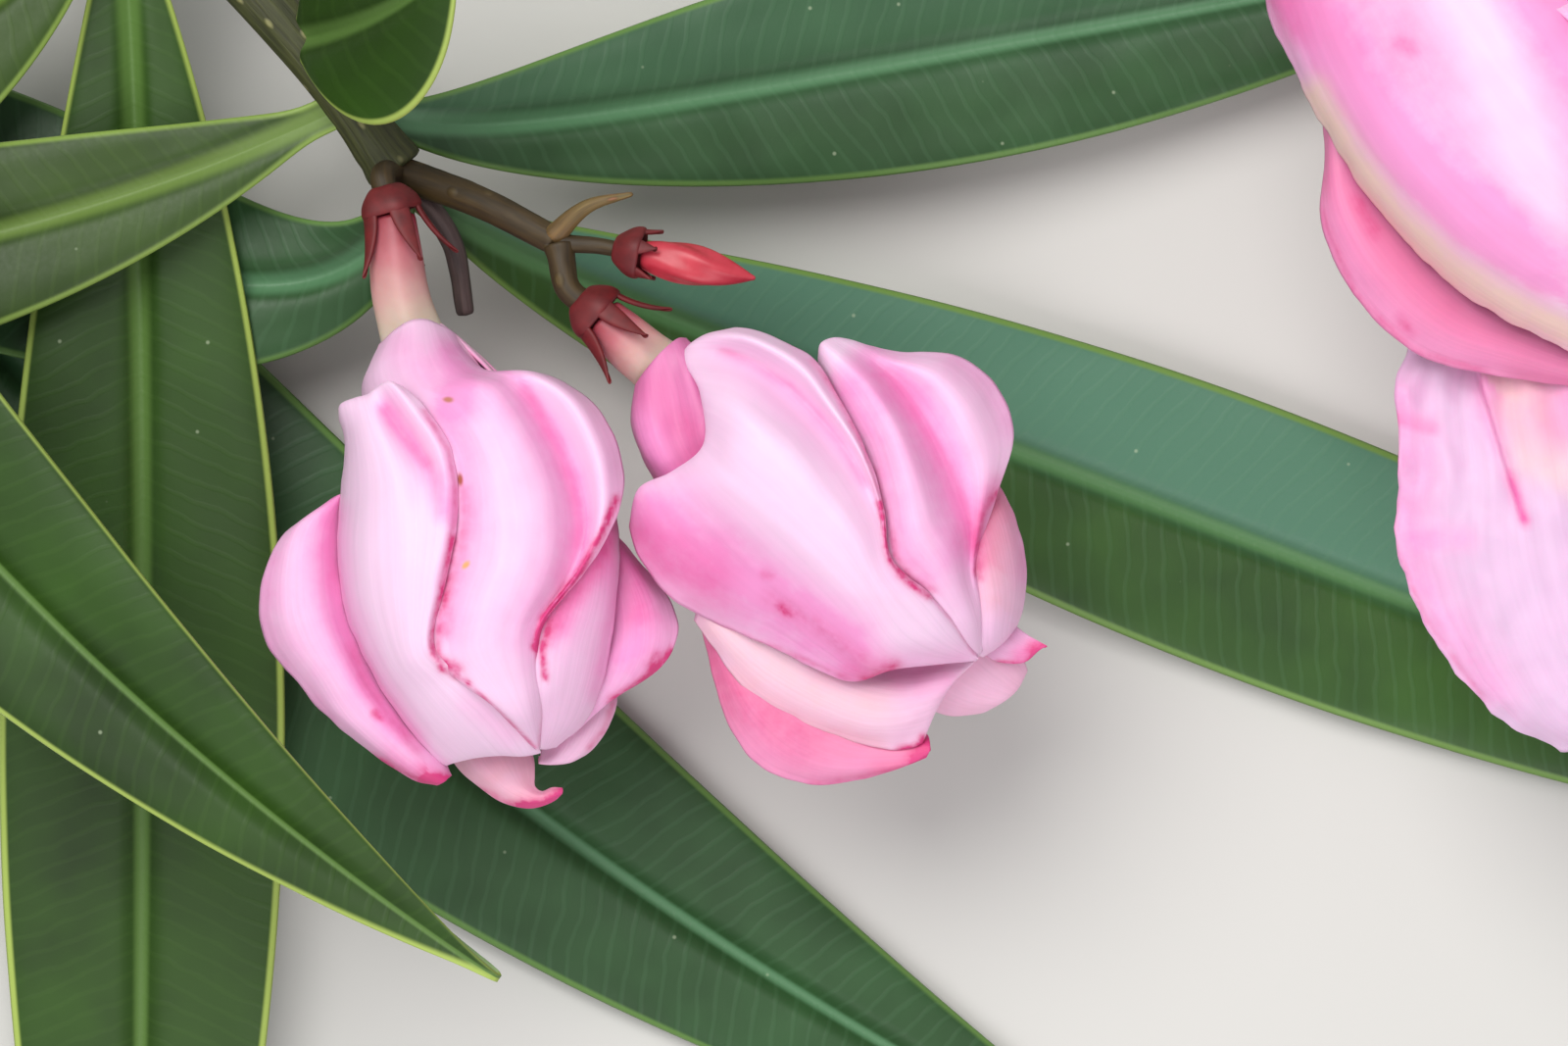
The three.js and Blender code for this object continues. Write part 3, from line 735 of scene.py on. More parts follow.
def leaf_half(leaf, s):
    """Half the leaf's width at a share of the way from its joint to its tip"""
    blade = leaf["width"] / 2 * wave(s, LEAF_SKEW, LEAF_FULLNESS)
    return max(mix(PETIOLE_HALF, TIP_HALF, s), blade)


def leaf_blade(name, leaf, across, along):
    """A leaf's upper face as a sheet, and how thick its wall is at each corner"""
    midrib = midrib_points(leaf, along)
    fold = math.radians(leaf.get("fold", LEAF_FOLD))
    seed = 3.1 + len(name) * 0.37
    frames = []
    for k, place in enumerate(midrib):
        ahead = (midrib[min(k + 1, along)] - midrib[max(k - 1, 0)]).normalized()
        roll = math.radians(mix(*leaf.get("roll", (0, 0)), k / along))
        side = Vector((-ahead.y, ahead.x, 0)).normalized()
        side.rotate(Matrix.Rotation(roll, 3, ahead))
        frames.append((place, side, ahead.cross(side)))

    def share(u):
        t = 2 * u - 1
        return t * (0.62 + 0.38 * t * t)

    def place(u, v):
        centre, side, up = frames[round(v * along)]
        half = leaf_half(leaf, v)
        w = share(u)
        x = w * half
        blade = min(1.0, half / (leaf["width"] / 4))
        rise = abs(x) * math.sin(fold) + 0.3
        rise -= RIB_SINK * hump(x, 0, 0.7) * blade
        rise += BELLY * leaf["width"] * (1 - w * w) * min(1.0, abs(x) / 1.2) * blade
        ripple = MARGIN_WAVE * w * w * uneven((v * leaf["length"], w * 20), 9.0, seed) * blade
        ripple += 0.1 * uneven((v * leaf["length"], w * 9 + 50), 3.0, seed) * blade
        curl = 0.16 * max(0.0, abs(w) - 0.86) / 0.14 * blade
        return centre + side * (x * math.cos(fold)) + up * (rise + ripple - curl)

    def in_mm(u, v):
        return (share(u) * leaf_half(leaf, v), v * leaf["length"])

    near, far = leaf.get("margins", (1.0, 1.0))
    bright_side = leaf.get("painted_sky_sheen", 0.0)

    def edge(u, v):
        w = share(u)
        reach = abs(w) * leaf_half(leaf, v)
        rim = 1 - (leaf_half(leaf, v) - reach) / MARGIN_FADE
        return rim * (near if w > 0 else far)

    # painted sky sheen: full on one side of the midrib and fading across it, in place of light
    def painted_sky_sheen(u, v):
        return max(0.0, min(1.0, 0.5 + 4 * share(u) * bright_side)) * abs(bright_side)

    def slim(u, v):
        return leaf.get("rib", 1.0) * mix(1.5, 0.5, v)

    bm = grid(place, across, along, marks={"edge": edge, "painted_sky_sheen": painted_sky_sheen, "slim": slim}, uv=in_mm)
    face_toward(bm, Vector((0, 0, 1)))
    weights = []
    for j in range(along + 1):
        for i in range(across + 1):
            x = share(i / across) * leaf_half(leaf, j / along)
            weights.append(mix(BLADE_SHARE, 1.0, hump(x, 0, 0.75)))
    return bm, weights


for name, leaf in LEAVES.items():
    steps_along = LONG_STEPS if leaf["length"] > LONG_LEAF else SHORT_STEPS
    bm, weights = leaf_blade(name, leaf, LEAF_ACROSS, steps_along)
    piece(bm, f"{name}_blade", name, "leaf", [leaf_tops[leaf["kind"]], leaf_under],
          wall=LEAF_WALL, under=1, weights=weights)
print("leaves:", len(LEAVES))

# %% [markdown]
# ## Petal finish
# A double oleander's petals are thin, soft and slightly see-through, so light that goes in comes out again
# a millimetre or two away and their shadows glow. They are pale lavender-pink where they face the sky,
# pink in the folds, hot pink toward the rims, and salmon on their undersides. The deeper pink along the
# folds and valleys, and under the edges of other petals, is painted shade. Each petal carries its own
# marks for these tones, and the finish mixes them in. Fine veins run along the petal.
# There are four skins: the common pale pink one, the same with a few scorched spots, a deep pink one for
# petals whose darker back shows and that lie in shade, so its darkness is partly painted shade, and a
# darker lavender one for the petal that lies open in full light, whose darker ground is painted shade:
# the cup petal shades its upper part. The cut rim of each petal is a little deeper, which draws its
# outline against the next one.

# %% Petal finish
# Many stains of the deep tone are painted shade, in folds, valleys and under other petals; others are own
# pink.
PETAL_TONES = {"blush": "#EA91C6", "deep": "#E05C9E", "salmon": "#E79CA6", "cream": "#E8C3B8",
               "magenta": "#CE3678"}
PETAL_PALE = "#ECC3E0"
VEIN_COUNT = 30.0
MOTTLE_MM = 1.5
SPECKLE_MM = 0.8


def petal_finish(name, pale=PETAL_PALE, scorches=()):
    """A soft petal: pale ground, marked tones, fine lengthwise veins, and small scorched spots"""
    material, shader = finish(name, Roughness=0.55, Subsurface_Weight=0.2, Subsurface_Scale=0.0014)
    shader.inputs["Subsurface Radius"].default_value = (1.0, 0.4, 0.65)
    place = own_place(material)
    surface = own_map(material)
    drawn = add(material, "Mapping", inputs={"Vector": surface, "Scale": (VEIN_COUNT, 2.2, 1.0)})
    veins = clouds(material, drawn.outputs["Vector"], 1.0)
    mottle = clouds(material, place, 1 / (MOTTLE_MM * MM), 3.0, 0.65)
    speckle = clouds(material, place, 1 / (SPECKLE_MM * MM), 2.0, 0.6)
    tone = colour(pale)
    for mark, code in PETAL_TONES.items():
        source, wobble = (speckle, 0.45) if mark == "magenta" else (mottle, 0.16)
        broken = ranged(material, source, 0.3, 0.7, 1 - wobble, 1 + wobble, held=False)
        share = maths(material, "MULTIPLY", mark_of(material, mark), broken, held=True)
        tone = blend(material, share, tone, colour(code))
    tone = blend(material, 1.0, tone, ranged(material, veins, 0.3, 0.7, 0.94, 1.02), "MULTIPLY")
    for u, v, size, code in scorches:
        middle = add(material, "VectorMath", {"operation": "SUBTRACT"}, {0: surface, 1: (u, v, 0)})
        shape = add(material, "VectorMath", {"operation": "MULTIPLY"},
                    {0: middle.outputs[0], 1: (1.0, 2.0, 1.0)})
        away = add(material, "VectorMath", {"operation": "LENGTH"}, {0: shape.outputs[0]})
        inside = ranged(material, away.outputs["Value"], size, size * 0.25, curve="SMOOTHSTEP")
        tone = blend(material, inside, tone, colour(code))
    return dress(material, shader, Base_Color=tone, Normal=relief(material, veins, 0.15, 0.2 * MM))


petal_skin = petal_finish("soft_pink_petal_skin")
spotted_skin = petal_finish("soft_pink_petal_skin_with_scorched_spots", scorches=(
    (0.41, 0.262, 0.03, "#B4705E"), (0.245, 0.412, 0.028, "#A04A34"), (0.3, 0.552, 0.022, "#E0A468")))
# partly painted shade: a darker ground for petals that lie in shade, and partly their deeper backs
deep_pink_shaded_skin = petal_finish("deep_pink_petal_skin_with_painted_shade", pale="#C86E9C")
# painted shade: a darker ground for the open flat petal, whose upper part the cup petal shades
lavender_shaded_skin = petal_finish("lavender_petal_skin_with_painted_shade", pale="#D6BAD6")
petal_rim = petal_finish("deeper_pink_petal_rim", pale="#E3A2CA")
print("petal tones:", ", ".join(PETAL_TONES))

# %% [markdown]
# ## How a petal is set
# Each bloom has its own directions: x to the right, y along from the throat to the point, and h up toward
# the light. A petal is a smooth sheet through a small cage of given points: rows along the petal,
# points across it. The camera sees a high point a little further out than a low one, so each
# place is drawn in along its line of sight to stay under the spot where it shows.
# The stains follow short paths on the petal: the tone, its strength, how far it spreads to either
# side in millimetres, and the path's points.

# %% Set a petal from a cage
PETAL_WALL = 0.26


def bloom_frame(flower):
    """Turns x, y, h of a bloom into a place on the sprig"""
    foot, apex = flower["foot"], flower["apex"]
    along = (apex - foot).normalized()
    up = (Vector((0, 0, 1)) - along * along.z).normalized()
    right = up.cross(along)
    sight = EYE_HEIGHT - (foot.z + apex.z) / 2

    def to_world(x, y, h):
        spot = foot + along * (flower["tube"] + y) + right * x + up * h
        pull = (EYE_HEIGHT - spot.z) / sight
        return Vector((mix(HEART.x, spot.x, pull), mix(HEART.y, spot.y, pull), spot.z))

    return to_world, up


def stain_at(x, y, spread, path):
    """How strong a stain is at a place: 1 on its path, fading with its own spread on either side"""
    best = 1e9
    side = 0.0
    for (ax, ay), (bx, by) in zip(path, path[1:]):
        dx, dy = bx - ax, by - ay
        share = min(1.0, max(0.0, ((x - ax) * dx + (y - ay) * dy) / (dx * dx + dy * dy)))
        px, py = ax + share * dx, ay + share * dy
        away = math.hypot(x - px, y - py)
        if away < best:
            best, side = away, x - px
    return math.exp(-((best / (spread[1] if side > 0 else spread[0])) ** 2))


def caged_petal(name, bloom, cage, *, fine, seed, stains=(), base=None, skin=petal_skin, wrinkle=0.1,
                bend=None):
    """One petal on a cage of points, in a grid of fine[0] by fine[1] squares"""
    to_world, up = bloom_frame(FLOWERS[bloom])
    rows = [[Vector(point) for point in row] for row in cage]
    columns = {}
    found = {}

    def on_cage(u, v):
        """The place in the bloom's own directions, with small natural wrinkles"""
        step = (round(u * fine[0]), round(v * fine[1]))
        if step in found:
            return found[step]
        if step[0] not in columns:
            columns[step[0]] = [through(row, step[0] / fine[0]) for row in rows]
        spot = through(columns[step[0]], v)
        edge = max(hump(u, 0, 0.1), hump(u, 1, 0.1), 0.6 * hump(v, 1, 0.05))
        x, y = spot.x, spot.y
        spot.z += wrinkle * uneven((x, y), 2.4, seed) + 0.4 * wrinkle * uneven((x, y), 1.0, seed)
        spot.z += 1.2 * wrinkle * edge * uneven((x, y), 1.6, seed + 9)
        spot.x += 0.9 * wrinkle * edge * uneven((y, x), 1.3, seed + 4)
        if bend:
            spot.z += bend(x, y)
        found[step] = spot
        return spot

    def amount_of(mark):
        own = [stain[1:] for stain in stains if stain[0] == mark]
        ground = (base or {}).get(mark, 0.0)

        def amount(u, v):
            x, y, _ = on_cage(u, v)
            return ground + sum(strength * stain_at(x, y, spread, path) for strength, spread, path in own)

        return amount

    marks = {mark: amount_of(mark) for mark in PETAL_TONES}
    bm = grid(lambda u, v: to_world(*on_cage(u, v)), *fine, marks=marks)
    face_toward(bm, up)
    return piece(bm, name, bloom, "petal", [skin, petal_rim], wall=PETAL_WALL, rim=1, levels=0)


def tally(start):
    """Prints how many pieces have names that start so"""
    print(start, "pieces so far:", sum(name.startswith(start) for name in made))


# %% [markdown]
# ## The left bloom
# It is half open: the petals are still furled round each other and their turned-out margins stand off at the
# sides. From the top, a broad centre petal with a folded right flange lies beside a white one with a
# rolled margin, and both run down to one point. Lobes of the petals behind show left and right, and
# two salmon tongues hang below the point.

# %% Upper petals of the left bloom
caged_petal("left_centre_petal", "bloom_left", [
    [(-3, .1, .4), (-2.6, -.1, 1.4), (-1.8, -.5, 2.2), (-.6, -.8, 2.6), (.4, -.6, 2.3), (1.1, -.1, 1.8),
     (1.6, .3, 1.2), (2, .8, .4)],
    [(-4.7, 2.2, 0), (-4.3, 1.9, 2), (-3.2, 1.5, 3.7), (-1.2, 1.4, 4.6), (.4, 1.6, 4.5), (1.6, 1.9, 3.4),
     (2.2, 2.2, 2.4), (2.6, 2.6, 1)],
    [(-4.9, 4.2, 1), (-4.4, 3.9, 3.2), (-3, 3.7, 5), (-1, 3.5, 6), (1, 3.4, 6.2), (2.4, 3.5, 5.2),
     (3.1, 3.6, 4.2), (3.5, 3.8, 2.6)],
    [(-4.2, 6.2, 2.6), (-3, 6, 5.4), (-1, 5.6, 6.8), (.8, 5.2, 7.6), (3, 4.9, 8), (4.6, 4.9, 6.8),
     (5.8, 4.7, 6.7), (6.9, 5, 4.4)],
    [(-2.8, 8.4, 5), (-1.2, 8.3, 7.2), (.2, 8.2, 7.8), (2, 8, 8.5), (4.2, 7.9, 8.3), (6.1, 7.8, 6.1),
     (7.9, 7.3, 7.4), (9.4, 7.8, 4.8)],
    [(-3, 12, 5.8), (-1.6, 12, 7.6), (-.2, 12, 8.2), (2.2, 12, 9), (4.8, 12, 8.5), (6.9, 12, 5.9),
     (8.6, 12, 7.4), (10.1, 12, 5)],
    [(-4.2, 15.4, 6), (-2.9, 15.4, 7.7), (-1.5, 15.4, 8.2), (1.4, 15.4, 9.2), (4.2, 15.4, 8.8),
     (6.6, 15.3, 6.4), (7.6, 15.4, 7.4), (8.6, 15.4, 6.4)],
    [(-5.2, 18, 6), (-4.4, 18, 7.5), (-3.2, 18, 8.1), (-.4, 18, 9.1), (2.8, 18, 8.9), (4.8, 18.1, 7),
     (5.4, 18, 7.6), (5.9, 18, 7)],
    [(-5.6, 20.2, 5.8), (-5, 20.4, 7.1), (-4.2, 20.6, 7.7), (-2, 20.8, 8.5), (.6, 20.6, 8.6),
     (2, 20.5, 7.8), (2.4, 20.4, 7.8), (2.75, 20.3, 7.3)],
    [(-4.4, 21.9, 6.9), (-4, 22.2, 7.3), (-3.2, 22.6, 7.6), (-1.6, 22.9, 7.9), (.2, 22.8, 7.8),
     (1.1, 22.6, 7.3), (1.4, 22.4, 7.1), (1.65, 22.2, 6.8)],
    [(-2.2, 24.6, 6.4), (-1.9, 25, 6.6), (-1.4, 25.4, 6.7), (-.7, 25.7, 6.6), (.1, 25.7, 6.3),
     (.6, 25.5, 5.9), (.9, 25.3, 5.6), (1.15, 25.1, 5.2)],
    [(-.35, 27.7, 3), (-.25, 27.9, 3), (-.15, 28, 3), (-.05, 28.1, 2.9), (.05, 28.1, 2.8), (.1, 28, 2.8),
     (.2, 27.9, 2.7), (.25, 27.8, 2.6)],
], stains=(
    # painted shade: deep pink down the valley between the panel and the rolled right margin
    ("deep", .55, (.7, .3), [(5.4, 5.6), (6, 7.4), (6.6, 9.4), (6.9, 12.2), (6.8, 14.6), (6.3, 16)]),
    ("blush", .7, (2.4, .8), [(4.8, 5), (6, 8), (6.8, 12), (6.6, 15), (4.6, 18.6), (2.4, 20.6)]),
    ("blush", .55, (1.0, 1.6), [(-.4, 6), (0, 9), (-.6, 13), (-2.4, 16), (-3.8, 19)]),
    ("blush", .8, (1.4, 1.4), [(1.4, 2), (1.6, 3.6), (1, 5.2)]),
    ("blush", .4, (1.4, 1.4), [(-1.6, 1), (-.6, 3)]),
    ("magenta", .3, (.4, .5), [(-.3, 11), (-.5, 12.6), (-1.5, 14.6), (-2.9, 17), (-3.8, 19.4)]),
    ("magenta", .5, (.24, .24), [(-1.6, 13.8), (-2.9, 16.5), (-4.2, 19.2), (-4.6, 20.6), (-4.3, 21.8),
                                 (-3.2, 22.9)]),
    ("magenta", .7, (.45, .45), [(-4.2, 21.4), (-3.6, 21.9)]),
    ("magenta", .6, (.16, .16), [(-3.2, 23), (-2.3, 24.4), (-1.2, 26.2), (-.2, 27.8)]),
    ("magenta", 1.0, (.26, .3), [(9.1, 14), (7.4, 16.1), (5.7, 17.8), (4, 19.1), (2.5, 20.2), (1.5, 21.8)]),
    ("magenta", 1.1, (.25, .25), [(2.7, 20.4), (1.7, 22), (1.5, 24)]),
    ("magenta", .35, (.14, .14), [(1.5, 24), (.9, 26), (.1, 27.8)]),
), base={"blush": .12}, skin=spotted_skin, fine=(84, 110), seed=1.3)

caged_petal("left_white_petal", "bloom_left", [
    [(-6, 5.2, 1.2), (-5.6, 4.8, 1.8), (-5, 4.5, 2.4), (-4.4, 4.2, 3), (-3.8, 4, 3.4), (-3.2, 4, 3.8),
     (-2.8, 4.2, 4)],
    [(-6.7, 4, 2.2), (-6.4, 3.3, 4.2), (-5.4, 3.2, 5.1), (-4.6, 3.2, 5.4), (-3.9, 3, 5.9), (-3, 2.8, 6.6),
     (-2.4, 3.2, 6.2)],
    [(-6.8, 5.7, 1.6), (-6.5, 5.4, 4), (-5.6, 5.2, 5.9), (-4.5, 5.1, 6.6), (-3.4, 5.1, 6.1), (-2, 5, 7.6),
     (-1.1, 5.3, 7)],
    [(-8, 8.9, 1), (-7.4, 8.8, 4), (-6, 8.8, 6.8), (-4.2, 8.8, 8), (-2.3, 8.8, 7.5), (-1, 8.6, 8.5),
     (-.25, 8.6, 7.8)],
    [(-9.2, 12.6, 1.2), (-8.7, 12.6, 4), (-7.2, 12.6, 7.1), (-4.9, 12.6, 8.6), (-3, 12.6, 8.8),
     (-1.8, 12.6, 9), (-1, 12.4, 8.2)],
    [(-9.6, 16.6, 1.4), (-9.2, 16.6, 3.9), (-7.8, 16.6, 6.9), (-5.9, 16.6, 8.6), (-4.5, 16.6, 8.9),
     (-3.7, 16.6, 8.9), (-3, 16.5, 8.2)],
    [(-9, 20.5, 1.4), (-8.6, 20.4, 3.8), (-7.5, 20.3, 6.3), (-6.4, 20.3, 7.7), (-5.6, 20.3, 8),
     (-5.1, 20.3, 8.1), (-4.65, 20.2, 7.5)],
    [(-8.1, 23.4, 1.3), (-7.6, 23.2, 3.3), (-6.5, 22.8, 5.5), (-5.4, 22.4, 6.7), (-4.4, 22.3, 7),
     (-3.3, 22.5, 6.9), (-2, 22.9, 6.6)],
    [(-7.1, 25.7, .9), (-6.6, 25.5, 2.5), (-5.3, 25.4, 4.2), (-3.9, 25.2, 5.2), (-2.6, 25, 5.5),
     (-1.4, 25.1, 5.3), (-.2, 25.2, 4.9)],
    [(-6.1, 27.3, .2), (-5.4, 27.3, 1.2), (-4, 27.4, 2), (-2.5, 27.7, 2.4), (-1.2, 28.1, 2.4),
     (-.4, 28.2, 2.2), (.1, 28.2, 2)],
    [(-5.6, 26.9, -.8), (-5, 26.9, -.4), (-3.8, 27, 0), (-2.4, 27.2, .2), (-1.2, 27.5, .3),
     (-.5, 27.6, .3), (0, 27.6, .3)],
], stains=(
    # painted shade: deep pink in the inner fold near the throat
    ("deep", .6, (.4, .45), [(-3.7, 4.6), (-3.3, 5.9), (-2.7, 7.2), (-2.1, 8.6)]),
    ("blush", .8, (.8, 1.1), [(-3.6, 4.4), (-2.8, 7), (-1.8, 10), (-1.8, 12)]),
    ("blush", .45, (.5, .6), [(-1.2, 5.6), (-.6, 7.5), (-.6, 10), (-1.4, 13), (-3.2, 16.4)]),
    ("magenta", .8, (.26, .3), [(-1.8, 13.8), (-3.1, 16.5), (-4.5, 19.2), (-4.9, 20.4), (-4.6, 21.6),
                                (-3.4, 22.6)]),
    ("magenta", .4, (.2, .2), [(-1.3, 5.3), (-.5, 8.2), (-.6, 10.2), (-1.2, 12.6), (-1.8, 13.8)]),
    ("blush", .5, (.8, 1.0), [(-8.4, 10), (-9.4, 15), (-8.8, 20.6), (-7.4, 25)]),
    ("blush", .35, (1.2, 1.2), [(-3.4, 24), (-1.6, 26.6)]),
), base={"blush": -.08}, fine=(76, 104), seed=2.1)

caged_petal("left_lobe_petal", "bloom_left", [
    [(-6.2, 8.6, -1), (-7, 8.6, .2), (-7.8, 8.7, 1), (-8.5, 8.8, .9), (-9.1, 9.1, .3)],
    [(-7, 10.6, -.5), (-8.4, 10.6, .6), (-9.8, 10.4, 1.9), (-11.2, 10.2, 2.2), (-12.5, 10.5, 1.2)],
    [(-7.6, 14, -.4), (-9.2, 14, .9), (-11, 14, 2.7), (-13, 14, 2.9), (-14.8, 14, 1.2)],
    [(-7.6, 17, -.4), (-9.4, 17, 1), (-11.2, 17, 3), (-13.2, 17, 2.9), (-15, 17, 1)],
    [(-7.4, 19.8, -.4), (-9, 19.9, 1), (-10.6, 20, 2.9), (-12.2, 19.9, 2.8), (-13.7, 19.9, 1.2)],
    [(-7.2, 21.2, -.4), (-8.7, 21.3, 1), (-10.2, 21.3, 2.8), (-11.8, 21.3, 2.6), (-13.1, 21.3, 1)],
    [(-7, 22.7, -.5), (-8.2, 22.7, .9), (-9.6, 22.7, 2.6), (-11.3, 22.7, 2.5), (-12.4, 22.5, 1)],
    [(-6.4, 25, -.6), (-7.3, 25.2, .8), (-8.3, 25.4, 2.2), (-9.4, 25.6, 2.1), (-10.3, 25.4, .9)],
    [(-5.9, 27, -.6), (-6.3, 27.2, .7), (-7, 27.5, 1.5), (-7.7, 27.7, 1.4), (-8.2, 27.7, .7)],
    [(-5.8, 28, 0), (-6, 28.1, .5), (-6.3, 28.3, .8), (-6.7, 28.4, .8), (-6.9, 28.4, .5)],
], stains=(
    ("blush", .7, (1.2, 1.2), [(-8.2, 9), (-9.2, 12), (-9.9, 16), (-9.4, 20), (-8.2, 24)]),
    # painted shade: deep pink in the valley next to the white petal
    ("deep", .3, (1.1, .8), [(-7.9, 9), (-8.8, 11), (-9.6, 13.6)]),
    ("magenta", .26, (.45, .45), [(-9.8, 18.6), (-9.6, 21), (-8.9, 23.2), (-7.6, 25.8)]),
    ("magenta", .7, (.3, .3), [(-9.5, 23), (-9.3, 23.3)]),
    ("magenta", .8, (.3, .3), [(-10.4, 25.6), (-8.2, 27.7), (-6.9, 28.4)]),
    ("magenta", 1.5, (.7, .5), [(-7.2, 28), (-6, 28.3)]),
    ("deep", .5, (.8, .8), [(-9.4, 26), (-7, 27.6)]),
    ("blush", .3, (.7, .7), [(-13.4, 11.4), (-15, 15.6), (-14.8, 18), (-12.6, 22.6)]),
), base={"blush": .42}, fine=(46, 76), seed=3.4)

caged_petal("left_side_petal", "bloom_left", [
    [(4, 13.6, 4.6), (5.6, 13.6, 5.2), (7, 13.6, 5.2), (8.2, 13.8, 4.4), (8.9, 14.2, 2.6)],
    [(3.6, 17, 5.8), (5.2, 17, 6.6), (6.5, 17, 6.3), (7.7, 17.1, 4.9), (8.4, 17.2, 3)],
    [(1.6, 19.5, 6.6), (3.6, 19.6, 7), (5.4, 19.7, 6.5), (6.8, 19.8, 5), (7.5, 19.9, 3.2)],
    [(.4, 22, 6.8), (2, 22.1, 7), (3.8, 22.2, 6.6), (5.6, 22.3, 4.9), (6.4, 22.4, 3)],
    [(0, 24.3, 5.8), (1.2, 24.5, 6.1), (2.6, 24.7, 5.6), (4.2, 24.9, 4.2), (5.1, 25, 2.4)],
    [(-.2, 26.4, 3.9), (.5, 26.5, 4.1), (1.5, 26.7, 3.8), (2.7, 26.9, 2.8), (3.4, 27, 1.5)],
    [(-.2, 27.9, 2.4), (.1, 28, 2.4), (.5, 28.1, 2), (.9, 28.1, 1.5), (1.2, 28.1, .9)],
], stains=(
    # painted shade: deep pink where the centre petal's flange overhangs this petal
    ("deep", .8, (1.0, 1.0), [(8.2, 15.4), (6.6, 17.4), (4.8, 19), (3.2, 20.4)]),
    ("magenta", .3, (.5, .7), [(7.4, 16.8), (5.6, 18.6), (3.6, 20), (2.4, 21.6)]),
    ("magenta", .9, (.2, .3), [(2.8, 20.5), (1.9, 22), (1.6, 23.8)]),
    ("blush", .5, (1.4, 1.4), [(6, 17.6), (3.4, 21)]),
    ("blush", .5, (.8, .8), [(8.2, 16), (7.3, 20), (6.3, 22.4), (4.6, 25.4)]),
), base={"blush": .2}, fine=(44, 64), seed=4.2)

caged_petal("left_outer_petal", "bloom_left", [
    [(5.5, 14.6, 0), (6.8, 14.7, .8), (7.8, 15, .8), (8.4, 15.6, .2)],
    [(5.5, 18, .4), (7.4, 18, 1.6), (8.8, 18, 1.6), (9.5, 18, .5)],
    [(4.5, 21, .6), (7, 21.1, 2.1), (9.3, 21.1, 2.1), (10.75, 21.1, .6)],
    [(3.5, 23.2, .6), (6.2, 23.4, 2.4), (8.8, 23.4, 2.2), (10.6, 23.2, .8)],
    [(2.6, 25, .4), (5, 25.1, 2), (7.3, 25.2, 1.7), (8.8, 25, .9)],
    [(1.8, 26.3, .2), (3.4, 26.4, 1.2), (4.7, 26.4, 1.1), (5.4, 26.1, .7)],
    [(.8, 27.6, .2), (1.4, 27.7, .5), (2, 27.7, .6), (2.4, 27.6, .4)],
], stains=(
    ("deep", .75, (1.4, 1.4), [(8.4, 17), (8.8, 19.4), (8.6, 21)]),
    ("blush", .6, (1.6, 1.6), [(8, 16), (8, 20), (7, 23)]),
    ("magenta", 1.1, (.35, .3), [(10, 24.1), (8.8, 25), (7, 25.8), (5.4, 26.2)]),
    ("magenta", .7, (.4, .4), [(8.4, 24.7), (8.9, 24.2)]),
), base={"blush": .6}, fine=(44, 52), seed=5.6)
tally("left_")

# %% [markdown]
# Below the point hang a small petal on the right and a tongue whose hooked tip curls to the right. Both lie
# lower than the rest, so they are shaded and warmer.

# %% Lower petals of the left bloom
caged_petal("left_lower_petal", "bloom_left", [
    [(1, 24, -1.5), (3, 24, -.8), (5, 24, -1.2), (6.2, 24.3, -2.4)],
    [(.6, 26, -1.2), (2.6, 26.2, -.2), (4.6, 26.2, -.4), (5.7, 26.1, -1.4)],
    [(.2, 27.8, -.9), (1.8, 28, .1), (3.4, 28, 0), (4.5, 27.9, -1)],
    [(-.2, 28.7, -.7), (.6, 29, -.3), (1.8, 29.2, -.3), (2.8, 29, -.8)],
    [(-.2, 28.4, -2), (.6, 28.7, -1.9), (1.6, 28.8, -1.9), (2.4, 28.7, -2.2)],
], stains=(("magenta", .4, (.25, .25), [(5.6, 25.8), (4.6, 27.6), (3.2, 28.6)]),),
    base={"blush": .2, "salmon": .15}, fine=(30, 34), seed=6.1)

caged_petal("left_tongue_petal", "bloom_left", [
    [(-5.8, 26, -3), (-4.4, 26, -1.6), (-2.6, 26, -1.4), (-.8, 26, -2)],
    [(-5.2, 27.8, -2.6), (-4, 27.8, -1.1), (-2.2, 27.9, -.9), (-.4, 28.2, -1.6)],
    [(-4.3, 29.1, -2.2), (-3.3, 29.1, -1), (-1.9, 29.2, -.8), (-.65, 29.3, -1.3)],
    [(-3.1, 30.5, -1.7), (-2.4, 30.2, -.8), (-1.6, 30, -.6), (-.8, 30.05, -1)],
    [(-1.4, 31.35, -1.2), (-1.1, 31, -.6), (-.8, 30.7, -.5), (-.5, 30.45, -.9)],
    [(.1, 31.3, -.9), (.1, 31, -.5), (.15, 30.7, -.5), (.2, 30.4, -.8)],
    [(.75, 31, -.7), (.8, 30.9, -.6), (.85, 30.75, -.6), (.85, 30.6, -.7)],
], stains=(
    ("magenta", 1.3, (.5, .4), [(-1.8, 31.2), (-.4, 31.4), (.9, 30.9)]),
    ("magenta", .5, (.3, .3), [(-4.4, 29.2), (-3, 30.5), (-1.8, 31.2)]),
    ("deep", .6, (.8, .8), [(-1, 30.8), (.8, 30.8)]),
), base={"blush": .1, "salmon": .55}, fine=(30, 60), wrinkle=.05, seed=7.7)
tally("left_")

# %% [markdown]
# ## The right bloom
# The same kind of furled petals, turned more to the right. Its main petal has a hot pink fold on the
# left, a broad white back and a rolled right margin. A second petal with a wide lobe lies to the right of
# it, a cream and a deep pink one show below, and a mauve bulge of the petal behind shows by the throat.
# The deep pink one and the mauve bulge lie in shade, and their darker tones are partly painted shade.

